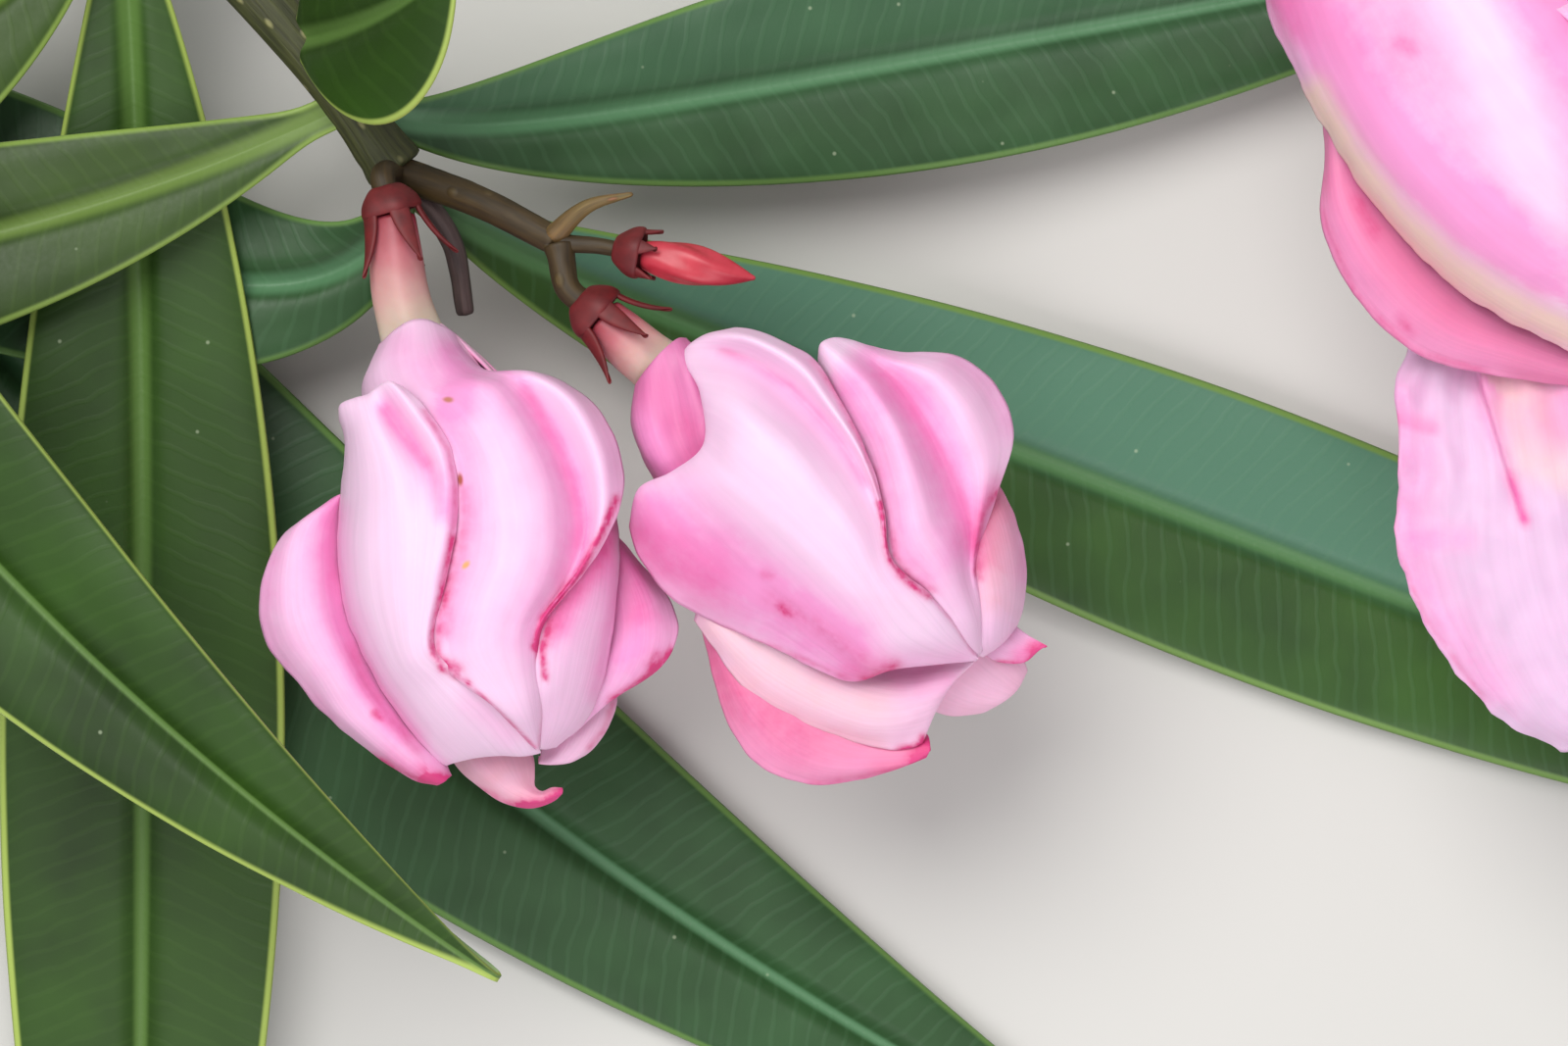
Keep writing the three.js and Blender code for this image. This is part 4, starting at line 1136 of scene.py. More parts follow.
# %% Upper petals of the right bloom
caged_petal("right_main_petal", "bloom_right", [
    [(-8, 3.4, .4), (-6.2, 2.7, 2), (-4.2, 3.5, 3), (-1.8, 3.8, 3.8), (.8, 1.4, 3.2), (1.9, -1.2, .8),
     (3.2, -1.3, .8), (4.4, -.4, 1.6)],
    [(-8.7, 2.5, 1.6), (-6.6, 1.5, 3.4), (-4.4, 2.4, 4.6), (-1.8, 2.8, 5.6), (.5, .5, 4.8),
     (1.8, -2.1, 2.4), (3.4, -1.9, 2.8), (5, -.8, 3)],
    [(-9.7, 3.9, 1.6), (-7.4, 3, 4.2), (-4.8, 3.6, 5.9), (-1.8, 3.9, 7.4), (1.2, 2.4, 7.8),
     (4.2, 1.3, 5.2), (5.2, .6, 6.8), (6.1, .9, 5)],
    [(-10.3, 5.9, 1.2), (-7.9, 5.2, 4.2), (-5, 5.6, 6.2), (-2, 5.4, 8.6), (1.4, 4.9, 9.3), (4.6, 4.4, 5.7),
     (6, 4.2, 7.7), (7, 4.6, 6)],
    [(-10.5, 7.6, .8), (-8, 7.4, 3.9), (-5, 7.5, 6.3), (-2, 7.4, 9), (1.4, 7.2, 9.8), (4.45, 7.1, 6.4),
     (5.5, 7, 8.2), (6.35, 7, 6.9)],
    [(-9.9, 10.7, .6), (-7.8, 10.8, 3.6), (-5.2, 10.8, 6.1), (-2, 10.7, 9.2), (.8, 10.7, 9.9),
     (3.75, 10.8, 7.8), (4.45, 10.8, 8.7), (4.95, 10.6, 7.8)],
    [(-8.8, 14, 2), (-7, 14, 4.3), (-5.2, 14, 6.2), (-2.2, 14, 9), (.2, 14, 9.7), (2.2, 14.2, 8.6),
     (2.6, 14.2, 8.9), (2.9, 14.1, 8.4)],
    [(-8, 17, 2.6), (-6.7, 17, 4.3), (-5.3, 17.1, 5.9), (-2.6, 17.1, 8.2), (-1, 17, 8.9), (.2, 16.9, 8.8),
     (.5, 16.8, 8.7), (.75, 16.7, 8.2)],
    [(-6.9, 19.9, 3), (-6.1, 20.1, 4.1), (-5.2, 20.3, 5.1), (-3.4, 20.4, 6.3), (-1.8, 20.3, 7.2),
     (-.2, 20.2, 7.6), (.3, 20.1, 7.5), (.6, 20, 7)],
    [(-4.6, 21.4, 3.6), (-4.2, 21.7, 4.1), (-3.5, 22.1, 4.6), (-2.6, 22.4, 4.9), (-1.6, 22.6, 5.6),
     (-.6, 22.6, 5.9), (-.1, 22.5, 5.9), (.25, 22.4, 5.5)],
    [(-1, 24.6, 2.6), (-.9, 24.8, 2.8), (-.8, 24.9, 2.9), (-.7, 25, 3), (-.6, 25, 3), (-.5, 25, 3),
     (-.4, 24.9, 2.9), (-.3, 24.8, 2.8)],
], stains=(
    # painted shade: deep pink down the valley inside the rolled right margin
    ("deep", .5, (.4, .25), [(3.6, -.2), (4.2, 1.6), (4.7, 4.6), (4.5, 7), (4.1, 9.4), (3.2, 12.2)]),
    ("blush", .25, (2.0, .8), [(3.6, 0), (4.4, 4), (4.3, 8), (3, 12.6), (1.4, 15.4), (.2, 17.4)]),
    ("deep", .65, (2.6, 2.0), [(-9, 4.2), (-8.4, 6), (-7.8, 8.4)]),
    ("blush", 1.1, (3.0, 1.8), [(-7.2, 3), (-7, 7), (-6.6, 11), (-6.2, 15), (-5.6, 18.6)]),
    ("blush", .4, (1.2, 1.6), [(-4.6, 4), (-4.8, 9), (-4.6, 14), (-4.2, 18)]),
    ("magenta", .28, (.7, .6), [(-6.2, 12.6), (-5.8, 15), (-5.6, 17), (-5.4, 19.4)]),
    ("magenta", .5, (.3, .3), [(-5.4, 11.3), (-5.3, 11.5)]),
    ("magenta", .5, (.3, .3), [(-6.4, 13.4), (-6.3, 14.2)]),
    ("magenta", .9, (.35, .45), [(-6.4, 20.5), (-5.2, 21.1), (-4.4, 21.4)]),
    ("deep", .6, (.9, .9), [(-6.6, 19.6), (-4.8, 20.8)]),
    ("magenta", .35, (.2, .2), [(-10, 10.6), (-8.4, 15), (-7, 19.4)]),
    ("magenta", .9, (.3, .3), [(2.8, 13.9), (1.8, 15.3), (.7, 16.5), (.3, 18), (.4, 20)]),
    ("magenta", .45, (.25, .2), [(6.9, 4.6), (6.3, 7.2), (4.9, 10.7), (2.9, 14)]),
    ("magenta", .3, (.14, .14), [(.6, 20), (.2, 22.4), (-.4, 24.6)]),
    ("blush", .5, (1.2, 1.2), [(-3.8, 22), (-1.2, 24.4)]),
    ("blush", .4, (.5, .5), [(6.8, 3), (6.2, 8), (4.6, 11.4)]),
), base={"blush": -.04}, fine=(88, 110), seed=8.3)

caged_petal("right_second_petal", "bloom_right", [
    [(6, 6.6, 1), (7, 6.1, 2), (7.8, 5.9, 2.4), (8.4, 6, 2.2), (8.8, 6.5, 1.6), (9, 7, 1)],
    [(6.4, 5.4, 3.4), (7.3, 4.6, 5.2), (8, 4.2, 5.6), (8.8, 4.5, 5), (9.4, 5.3, 4.2), (9.7, 6.2, 3.2)],
    [(5, 8, 5.6), (6.6, 8, 6.9), (8, 7.9, 7.3), (9.4, 8, 5.6), (10.1, 8, 5.4), (10.8, 8.1, 4)],
    [(3.8, 11.4, 6.6), (5.4, 11.2, 7.7), (7.2, 11, 8.2), (9.2, 11, 5.4), (11.2, 10.9, 6.2), (13.1, 11, 3.6)],
    [(1.6, 14.6, 7.2), (3.2, 14.4, 8.2), (5.6, 14.2, 8.8), (8.1, 14.2, 6), (10.9, 13.9, 6.3),
     (13.5, 13.9, 3.4)],
    [(-.4, 17.2, 7.2), (1, 17.2, 8), (3.6, 17.2, 8.5), (6.7, 17.1, 6.1), (9.3, 17, 6), (12, 17.1, 3.8)],
    [(-.2, 19.6, 6.3), (.9, 19.5, 7.2), (3, 19.2, 7.7), (5.5, 19, 6.2), (6.9, 18.9, 6.2), (8.3, 19, 5)],
    [(-.4, 21.6, 5.3), (.6, 21.5, 6.2), (2, 21.3, 6.4), (3.2, 21.1, 5.6), (3.7, 21, 5.6), (4.1, 20.9, 5)],
    [(-.5, 23.3, 4.2), (.1, 23.4, 4.8), (.9, 23.4, 4.8), (1.6, 23.3, 4.4), (2, 23.1, 4.2), (2.4, 22.9, 3.9)],
    [(-.6, 24.7, 2.6), (-.5, 24.8, 2.7), (-.4, 24.9, 2.7), (-.2, 24.9, 2.6), (0, 24.9, 2.5),
     (.2, 24.8, 2.4)],
], stains=(
    # painted shade: deep pink down the valley of this petal's fold
    ("deep", .5, (.9, .4), [(9.4, 8.6), (9.2, 11), (8.3, 13.6), (7.4, 15.8), (6.4, 17.8), (5.2, 19.4)]),
    ("blush", .8, (2.4, 1.4), [(9.2, 7), (9.2, 11), (8, 14.6), (6.6, 17.4), (4.6, 20)]),
    ("blush", .55, (.8, 1.2), [(6.4, 7), (5.4, 10.6), (3.4, 13.8), (1.4, 16.6), (.9, 19)]),
    ("magenta", .3, (.3, .3), [(4.2, 12.2), (3.4, 13.4), (2.2, 15)]),
    ("magenta", .5, (.2, .3), [(1.9, 15.6), (.9, 16.8), (.5, 18.4), (.8, 20)]),
    ("blush", -.8, (1.8, 1.8), [(7, 4.2), (8.6, 4.8)]),
    ("magenta", .7, (.3, .25), [(8.3, 18.9), (6.6, 19.2), (4.9, 20.2), (3.6, 21.4)]),
    ("deep", .5, (.8, .8), [(8.6, 18.6), (6.6, 19), (4.8, 20)]),
    ("blush", .35, (1.0, 1.0), [(13, 11.4), (13.4, 14), (12.2, 16.8)]),
), base={"blush": .18}, fine=(76, 100), seed=9.2)

caged_petal("right_side_petal", "bloom_right", [
    [(4.5, 17, 4), (6.5, 17, 4.8), (8, 17.2, 3.8), (8.9, 17.6, 2)],
    [(3.5, 19.4, 4.6), (5.6, 19.6, 5.4), (7.5, 19.7, 4.2), (8.5, 19.5, 2.2)],
    [(2.2, 21.4, 4.4), (4.2, 21.7, 5.1), (6.2, 21.8, 3.9), (7.4, 21.6, 1.9)],
    [(.9, 23.2, 3.8), (2.6, 23.6, 4.2), (4.4, 23.8, 3.1), (5.9, 23.5, 1.4)],
    [(-.2, 24.6, 2.4), (.9, 25, 2.6), (2.3, 25.2, 1.9), (3.8, 25, .7)],
    [(-.2, 25.1, 1.2), (.8, 25.4, 1), (1.8, 25.5, .6), (2.8, 25.4, -.1)],
], stains=(
    ("deep", .8, (1.0, 1.4), [(8, 18.8), (6.4, 19.8), (4.6, 21)]),
    ("magenta", .5, (.3, .35), [(8, 19.1), (6.4, 19.5), (4.8, 20.4), (3.5, 21.7)]),
    ("salmon", .5, (1.2, 1.6), [(7.4, 19.4), (5, 21.6), (3, 23)]),
    ("blush", .5, (.8, .8), [(8.6, 18.4), (7.6, 21.6), (5.6, 23.8)]),
), base={"blush": .22}, fine=(44, 56), seed=10.4)
tally("right_")

# %% [markdown]
# Under the right bloom's fold lie a cream petal, a deep pink one outside it, a pale one at the bottom and a
# small hooked one at the right. The mauve petal fills the gap by the throat; it lies in shade, and its
# mauve is partly painted shade.

# %% Lower petals of the right bloom
caged_petal("right_hooked_petal", "bloom_right", [
    [(0, 24.4, -.4), (1.4, 24.4, .2), (2.8, 24.6, -.3)],
    [(.1, 25.6, -.3), (1.4, 25.6, .3), (2.75, 25.6, -.2)],
    [(.6, 26.6, -.3), (1.7, 26.5, .2), (2.8, 26.4, 0)],
    [(1.3, 27.3, -.2), (2.2, 27.1, .2), (2.9, 27, .2)],
    [(2.5, 27.5, .1), (2.8, 27.6, .3), (3.05, 27.7, .3)],
], stains=(
    ("magenta", 1.4, (.5, .5), [(2.4, 27.3), (3.1, 27.7)]),
    ("magenta", .8, (.2, .2), [(.2, 26), (1.2, 27.3), (2.4, 27.6)]),
    ("deep", .7, (.8, .8), [(1.4, 26.8), (3, 27.4)]),
), base={"blush": .4}, fine=(28, 40), wrinkle=.05, seed=11.1)

caged_petal("right_bottom_petal", "bloom_right", [
    [(-5.2, 23.5, -1.4), (-3, 23.5, -.2), (-.5, 23.5, 0), (1.6, 24, -.8)],
    [(-4.8, 25.2, -1.8), (-2.8, 25.3, -.6), (-.6, 25.4, -.4), (1.4, 25.6, -1.2)],
    [(-4, 26.4, -2.2), (-2.3, 26.8, -1.2), (-.5, 26.9, -1), (1.5, 26.8, -1.6)],
    [(-2.6, 27.5, -2.6), (-1.5, 27.9, -2), (-.3, 28.05, -2), (1, 27.75, -2.3)],
    [(-2.2, 27.2, -3.6), (-1.3, 27.5, -3.4), (-.3, 27.6, -3.4), (.8, 27.4, -3.5)],
], base={"blush": .22, "salmon": .3}, fine=(36, 40), seed=12.5)

caged_petal("right_cream_petal", "bloom_right", [
    [(-6, 9, -.6), (-8, 9, .4), (-9.6, 9.2, .2), (-10.6, 9.6, -.8)],
    [(-6, 12, -.4), (-8.4, 12, 1), (-10.2, 12, .6), (-11.2, 12, -.6)],
    [(-5.4, 15.5, -.2), (-8, 15.5, 1.3), (-10.2, 15.5, .8), (-11.8, 15.5, -.6)],
    [(-4.4, 19, 0), (-7, 19.2, 1.7), (-9.4, 19.4, 1.1), (-10.95, 19.2, -.4)],
    [(-3, 22, .6), (-5.4, 22.4, 2.1), (-8, 22.7, 1.4), (-9.7, 22.4, -.2)],
    [(-1.6, 23.6, 1.4), (-3.6, 24, 2.2), (-6, 24.5, 1.6), (-8.4, 24.7, 0)],
    [(-.8, 24.9, 1.5), (-2.6, 24.8, 1.8), (-4.6, 25.1, 1.2), (-6.9, 25.8, .1)],
    [(-1, 24.6, .4), (-2.6, 24.4, .4), (-4.4, 24.6, 0), (-6.4, 25.3, -.9)],
], stains=(
    ("cream", .35, (1.5, 1.5), [(-10, 11), (-9.6, 15), (-8.6, 19), (-7, 22)]),
    ("blush", .5, (1.2, 1.2), [(-7.6, 18), (-6, 21), (-3, 24)]),
    ("magenta", .9, (.3, .3), [(-8.2, 25), (-7, 25.8), (-6.6, 25.6)]),
    ("salmon", .4, (.8, .8), [(-11.6, 14), (-11, 19), (-9, 23.6)]),
), base={"blush": .3, "cream": .12}, fine=(44, 70), seed=13.3)

# Its deep pink skin is partly painted shade.
caged_petal("right_outer_petal", "bloom_right", [
    [(-7, 9, -2.4), (-8.6, 9, -1.8), (-9.6, 9.3, -1.8), (-10.1, 9.5, -2.4)],
    [(-8, 12.6, -2.2), (-9.9, 12.6, -1), (-11.2, 12.6, -.9), (-12.3, 12.6, -2)],
    [(-8, 16, -2.2), (-10.4, 16, -.6), (-12.6, 16, -.4), (-14.35, 16, -1.8)],
    [(-8, 19.2, -2), (-10.4, 19.3, -.4), (-12.8, 19.4, -.2), (-14.8, 19.2, -1.6)],
    [(-7.2, 22, -1.8), (-9.6, 22.2, -.3), (-11.8, 22.4, -.2), (-13.6, 22.1, -1.5)],
    [(-6.4, 24.2, -1.4), (-8.2, 24.5, -.3), (-9.8, 24.7, -.2), (-11.3, 24.3, -1.2)],
    [(-6.2, 25.6, -.8), (-7, 25.9, 0), (-8, 26.2, .1), (-9, 25.8, -.6)],
    [(-6.5, 26.1, -.2), (-6.7, 26.3, .1), (-7, 26.5, .2), (-7.4, 26.6, 0)],
], stains=(
    # painted shade: the broad deep and magenta stains darken the upper part that lies in shade
    ("deep", .4, (2.8, 2.4), [(-11, 12), (-11.8, 16), (-11.4, 19.6), (-9.6, 22)]),
    ("magenta", .3, (2.0, 1.8), [(-11.2, 12), (-12, 16), (-11.6, 19.4)]),
    ("blush", .7, (1.4, 1.6), [(-14.4, 17), (-13.8, 21.4), (-11.4, 24)]),
    ("magenta", .45, (.35, .35), [(-13.6, 22.2), (-11.3, 24.3), (-9, 25.8)]),
    ("magenta", 1.4, (.6, .5), [(-8, 26.2), (-6.6, 26.2)]),
    ("deep", .6, (.9, .9), [(-9.6, 25), (-7, 26)]),
), base={"blush": .15, "salmon": .3}, skin=deep_pink_shaded_skin, fine=(44, 64), seed=14.8)

caged_petal("right_throat_petal_in_shade", "bloom_right", [
    [(-2, -3, -.6), (-1.7, -3.1, 1.2), (-.6, -3.2, 2.4), (.8, -3.2, 2.8), (2.2, -3, 2), (2.6, -2.6, .8)],
    [(-3.7, -1.8, -.6), (-3.2, -1.9, 2), (-2.2, -1.6, 3), (-.6, -1, 3), (1.2, -1.4, 3.2), (2.4, -1.4, 2)],
    [(-4.9, 0, -.6), (-4.4, -.1, 2.5), (-3.4, 0, 3.6), (-1.8, .6, 3.3), (-.2, .8, 3.8), (1.4, 0, 3)],
    [(-5.5, 1.6, -.6), (-5, 1.6, 2.4), (-4.2, 1.8, 3.6), (-2.8, 2.4, 3.7), (-1.6, 2.6, 4.2), (0, 1.8, 4)],
    [(-6.2, 4.5, -.6), (-5.6, 4.5, 1.6), (-4.6, 4.5, 2.8), (-3.4, 4.5, 3.2), (-2, 4.5, 3.6),
     (-.6, 4.2, 3.8)],
], stains=(
    # painted shade: the deep stain and the deep pink skin darken this petal under the main petal
    ("deep", .4, (1.7, 1.6), [(-1.2, -1.6), (-1.8, .4), (-2.8, 2.6)]),
    ("magenta", .2, (.8, .8), [(-1.4, 1), (-2, 2.4)]),
    ("blush", .6, (1.2, 1.2), [(-3.6, -1), (-4.4, 1), (-5, 2.4)]),
), base={"blush": .25}, skin=deep_pink_shaded_skin, fine=(44, 48), seed=15.2)
tally("right_")

# %% [markdown]
# ## What the furled petals close round
# Under the shaped petals each bloom has a heart of inner petals, and the side that lies toward the table has
# petals of its own, so that the bloom is whole from every side. These are wound round the axis by a formula:
# each covers part of a turn, twists toward the point, and lifts one margin over its neighbour. Their
# stains are soft humps: the tone, its middle and width across and along, and its strength.

# %% Wound petals
CORE_THROAT = 1.8
PETAL_THROAT = 1.7
PETAL_TWIST = 25
CORE_TURNS = 1.4
CORE_RIDGES = 5
RIDGE_HEIGHT = 0.06
CORE_GRID = (40, 26)
BACK_GRID = (18, 24)


def bud_profile(body, fullest, throat, t):
    """Radius of the furled petals at a share of the way from throat to point"""
    skew = math.log(0.5) / math.log(fullest)
    return throat * (1 - t) + (body - throat) * wave(t, skew, 0.7)


def stained(stains, base):
    """The marks of one petal as functions of its shares u and v"""
    def amount_of(mark):
        own = [stain[1:] for stain in stains if stain[0] == mark]
        ground = base.get(mark, 0.0)
        return lambda u, v: ground + sum(
            strength * hump(u, across, width) * hump(v, along, reach)
            for across, width, along, reach, strength in own)

    return {mark: amount_of(mark) for mark in PETAL_TONES}


def wound_core(name, bloom, body, fullest, length, middle):
    """The closed heart of the bud, with shallow ridges that wind toward the point"""
    to_world, _ = bloom_frame(FLOWERS[bloom])

    def place(u, v):
        angle = 2 * math.pi * u
        ridge = 1 + RIDGE_HEIGHT * math.sin(CORE_RIDGES * (angle - CORE_TURNS * v))
        radius = max(0.25, bud_profile(body, fullest, CORE_THROAT, v) * ridge)
        x, h = middle(v)
        return to_world(x + radius * math.cos(angle), mix(-0.5, length, v), h + radius * math.sin(angle))

    stains = stained((("blush", .5, .9, .5, .8, .3),), {"blush": .3, "salmon": .15})
    bm = tube(place, *CORE_GRID, marks=stains)
    return piece(bm, name, bloom, "petal", [petal_skin])


def wound_petal(name, bloom, start, sweep, body, fullest, length, middle, lift, seed, flare=1.2):
    """One petal wound part of the way round the heart, with a lifted and slightly turned margin"""
    to_world, _ = bloom_frame(FLOWERS[bloom])

    def place(u, t):
        angle = math.radians(start + sweep * u + PETAL_TWIST * t)
        margin = max(0.0, (u - 0.6) / 0.4)
        radius = bud_profile(body, fullest, PETAL_THROAT, t) + lift * min(1.0, 2.5 * t)
        radius += flare * margin**2 * math.sin(math.pi * t) ** 1.6
        radius += (0.25 + 0.5 * flare * margin * t) * uneven((u * 14, t * 20), 4.0, seed)
        x, h = middle(t)
        along = mix(-0.6, length, t) - 0.8 * hump(u, 0, 0.2) * t
        return to_world(x + radius * math.cos(angle), along, h + radius * math.sin(angle))

    stains = stained((("deep", 1, .08, .5, .3, .5), ("blush", .2, .3, .5, .4, .4)),
                     {"blush": .3, "salmon": .2})
    bm = grid(place, *BACK_GRID, marks=stains)
    to_centre = Vector((0, 0, 0))
    for vert in bm.verts:
        to_centre += vert.co
    to_centre /= len(bm.verts)
    x, h = middle(0.5)
    face_toward(bm, to_centre - to_world(x, length / 2, h))
    return piece(bm, name, bloom, "petal", [petal_skin, petal_rim], wall=PETAL_WALL, rim=1)


def left_middle(t):
    return (mix(-.8, 0, t), mix(0, 1.6, t**2))


def right_middle(t):
    return (mix(0, -.3, t), mix(0, 1.8, t**2))


wound_core("left_heart_petals", "bloom_left", 6.2, .52, 27.4, left_middle)
wound_core("right_heart_petals", "bloom_right", 6.6, .5, 24.4, right_middle)
for i, start in enumerate((150, 210, 265, 295)):
    wound_petal(f"left_back_petal_{i + 1}", "bloom_left", start, 85, 7.2 if i else 6.4, .55, 27.9,
                left_middle, 0.25 * i, 20.5 + i)
    wound_petal(f"right_back_petal_{i + 1}", "bloom_right", start + 5, 85, 7.6, .5, 25,
                right_middle, 0.25 * i, 30.5 + i)
tally("left_back")
tally("right_back")

# %% [markdown]
# ## The open bloom
# The largest bloom is further on: around a furled middle like the others, its outer petals have opened
# flat. One broad furled petal with a cream rim faces up, a darker pink one cups it on the left, and a pale
# one lies out flat at the lower left, with a pleat and low ridges that fan toward its wavy end. Three more
# petals spread to the right and below, and back petals like those of the other blooms close it. The cup
# petal's darker pink is partly painted shade, and the flat petal's darker ground is painted shade.

# %% Petals of the open bloom
caged_petal("open_top_petal", "bloom_open", [
    [(-2.6, 0, .5), (-2, -.4, 2), (-.8, -.6, 2.8), (.2, -.7, 3), (1, -.6, 2.6), (1.8, -.4, 1.8),
     (2.4, 0, .8)],
    [(-12, 3, 4), (-10.4, 2.6, 7.6), (-7.6, 2.6, 9.8), (-4, 2.5, 10.8), (0, 2.4, 10.8), (3.6, 2.7, 9.6),
     (6.2, 3.2, 6.8)],
    [(-14.2, 8.5, 5), (-13.1, 8.4, 8.2), (-10.6, 8.3, 11), (-6, 8.1, 12.6), (-.6, 8, 13.4),
     (4.4, 8.2, 12.2), (8.4, 8.6, 8.6)],
    [(-15.3, 14, 5), (-14.4, 14, 8.4), (-12, 14, 11.8), (-7.2, 14, 13.6), (-1.2, 14, 14.9),
     (4.8, 14, 13.8), (9.6, 14, 9.8)],
    [(-15.9, 19, 4.8), (-15, 19, 8.2), (-12.4, 19, 12), (-7.6, 19, 13.7), (-1.4, 19, 15.3),
     (4.8, 19, 14.2), (9.8, 19, 10)],
    [(-15.4, 25, 4.8), (-14.4, 25, 8.1), (-11.8, 25, 11.6), (-7.2, 25, 13.2), (-1.2, 25, 14.6),
     (4.2, 25, 13.6), (8.8, 25, 9.6)],
    [(-13.9, 30, 4.6), (-12.9, 30, 7.4), (-10.4, 30, 10.3), (-6.2, 30, 11.9), (-.8, 30, 13),
     (3.6, 30, 12.2), (7.2, 30, 8.8)],
    [(-11.4, 35, 4.2), (-10.4, 35, 6.4), (-8, 35, 8.6), (-4.4, 35, 9.9), (-.4, 35, 10.6), (2.6, 35, 9.8),
     (5, 35, 7.4)],
    [(-6.8, 41, 3.4), (-5.9, 41, 4.6), (-4.4, 41, 5.8), (-2.4, 41, 6.5), (-.4, 41, 6.8), (1.4, 41, 6.3),
     (2.6, 41, 5)],
    [(-1.2, 46, 2), (-.9, 46, 2.2), (-.5, 46, 2.4), (-.2, 46, 2.4), (.1, 46, 2.4), (.4, 46, 2.2),
     (.6, 46, 2)],
], stains=(
    ("cream", 1.0, (1.4, 1.0), [(-14.2, 11), (-14.9, 15), (-15.2, 20), (-14.6, 25), (-12.9, 30), (-10, 36)]),
    ("salmon", .6, (.5, .5), [(-15.4, 14.6), (-15.9, 19.5), (-15.2, 25.4), (-13.6, 30.4)]),
    ("blush", .95, (.9, 2.6), [(-11.4, 3), (-12, 8), (-12.7, 13), (-13, 18), (-12.4, 24), (-10.6, 30)]),
    ("deep", .3, (2.4, 3.6), [(-10.6, 4), (-9.8, 9), (-9, 13)]),
    ("deep", .4, (.9, 1.4), [(-11.4, 2.6), (-12.6, 7)]),
    ("blush", .9, (2.4, 4.0), [(1, 11), (1.4, 16), (.6, 22), (-.6, 28)]),
    ("deep", .25, (1.6, 3.0), [(1.8, 11), (2.2, 16), (1.4, 22), (.2, 28)]),
    ("blush", .4, (1.6, 1.6), [(-10, 24), (-7, 33)]),
    ("deep", .5, (.5, .5), [(-7.9, 12.4), (-7.6, 13.2)]),
    ("blush", -.65, (2.2, 1.8), [(-2, 9), (-3.2, 14.5), (-5.1, 20.4), (-7.3, 25.9), (-9, 31)]),
), base={"blush": .5}, fine=(72, 96), wrinkle=.2, seed=16.4)

caged_petal("open_cup_petal", "bloom_open", [
    [(-9, 9, 1), (-10.6, 9, 2), (-12.4, 9.4, 2.6), (-13.6, 10, 2)],
    [(-11, 13, 1.6), (-13, 13, 3.4), (-14.8, 13, 4), (-16, 13.6, 3)],
    [(-11.5, 17.5, 1.8), (-14.4, 17.4, 3.6), (-17.4, 17.2, 4.8), (-19.3, 17.3, 3.2)],
    [(-11.5, 22.5, 1.8), (-14.6, 22.5, 3.4), (-18.2, 22.5, 5), (-20.5, 22.5, 3.4)],
    [(-10.8, 27.4, 1.6), (-14, 27.4, 3.1), (-17.4, 27.4, 4.5), (-19.8, 27.4, 3.2)],
    [(-9.4, 31.4, 1.4), (-12.4, 31.4, 2.8), (-15, 31.4, 3.6), (-17.2, 31.2, 2.6)],
    [(-7, 36, 1), (-9.6, 36, 2.2), (-12, 36, 2.6), (-13.4, 35.4, 1.8)],
    [(-3.6, 42, .6), (-5.6, 42, 1.4), (-7.4, 42, 1.6), (-8.6, 41.6, 1)],
    [(-1, 46, .6), (-1.6, 46, .8), (-2.2, 46, .8), (-2.8, 45.8, .5)],
], stains=(
    # painted shade: deep pink over the part that the top petal shades
    ("deep", .5, (1.8, 2.2), [(-16.4, 16), (-17.4, 20), (-17.2, 25), (-16, 29.6), (-13, 34.6)]),
    ("blush", .6, (1.0, 1.2), [(-18.4, 16.6), (-19.8, 22), (-19.3, 27), (-16.8, 31)]),
    ("magenta", .4, (.5, .5), [(-16.4, 17.6), (-16.9, 19.8)]),
    ("magenta", .4, (.4, .4), [(-19.2, 25.2), (-19.2, 26)]),
    ("magenta", .35, (.25, .25), [(-18.6, 16.4), (-20.4, 22), (-19.9, 27), (-17.2, 31)]),
), base={"blush": .1, "salmon": .2}, skin=deep_pink_shaded_skin, fine=(40, 64), seed=17.2)

PLEAT_START = Vector((-17.7, 30.9))
PLEAT_END = Vector((-21.5, 39.7))
PLEAT_DEPTH = 1.6
FAN_FOOT = 10
FAN_FULL = 24
FAN_RIDGES = 64
FAN_HEIGHT = 0.14


def pleated(x, y):
    """How far the opened petal dips just right of its pleat, which dies away outward"""
    line = PLEAT_END - PLEAT_START
    off = Vector((x, y)) - PLEAT_START
    share = off.dot(line) / line.length_squared
    away = (off.x * line.y - off.y * line.x) / line.length
    if share > 1 or away > 0:
        return 0.0
    return PLEAT_DEPTH * (1 - max(0.0, share)) ** 0.6 * min(1.0, -away / 0.2) * math.exp(away / 4)


def fanned(x, y):
    """Low ridges that fan out from the throat over the opened petal, less its pleat"""
    spread = math.atan2(y - FAN_FOOT, x)
    reach = min(1.0, math.hypot(x, y - FAN_FOOT) / FAN_FULL)
    ridges = math.cos(spread * FAN_RIDGES + 2.4 * uneven((x, y), 6.0, 5.5))
    return FAN_HEIGHT * reach * ridges - pleated(x, y)


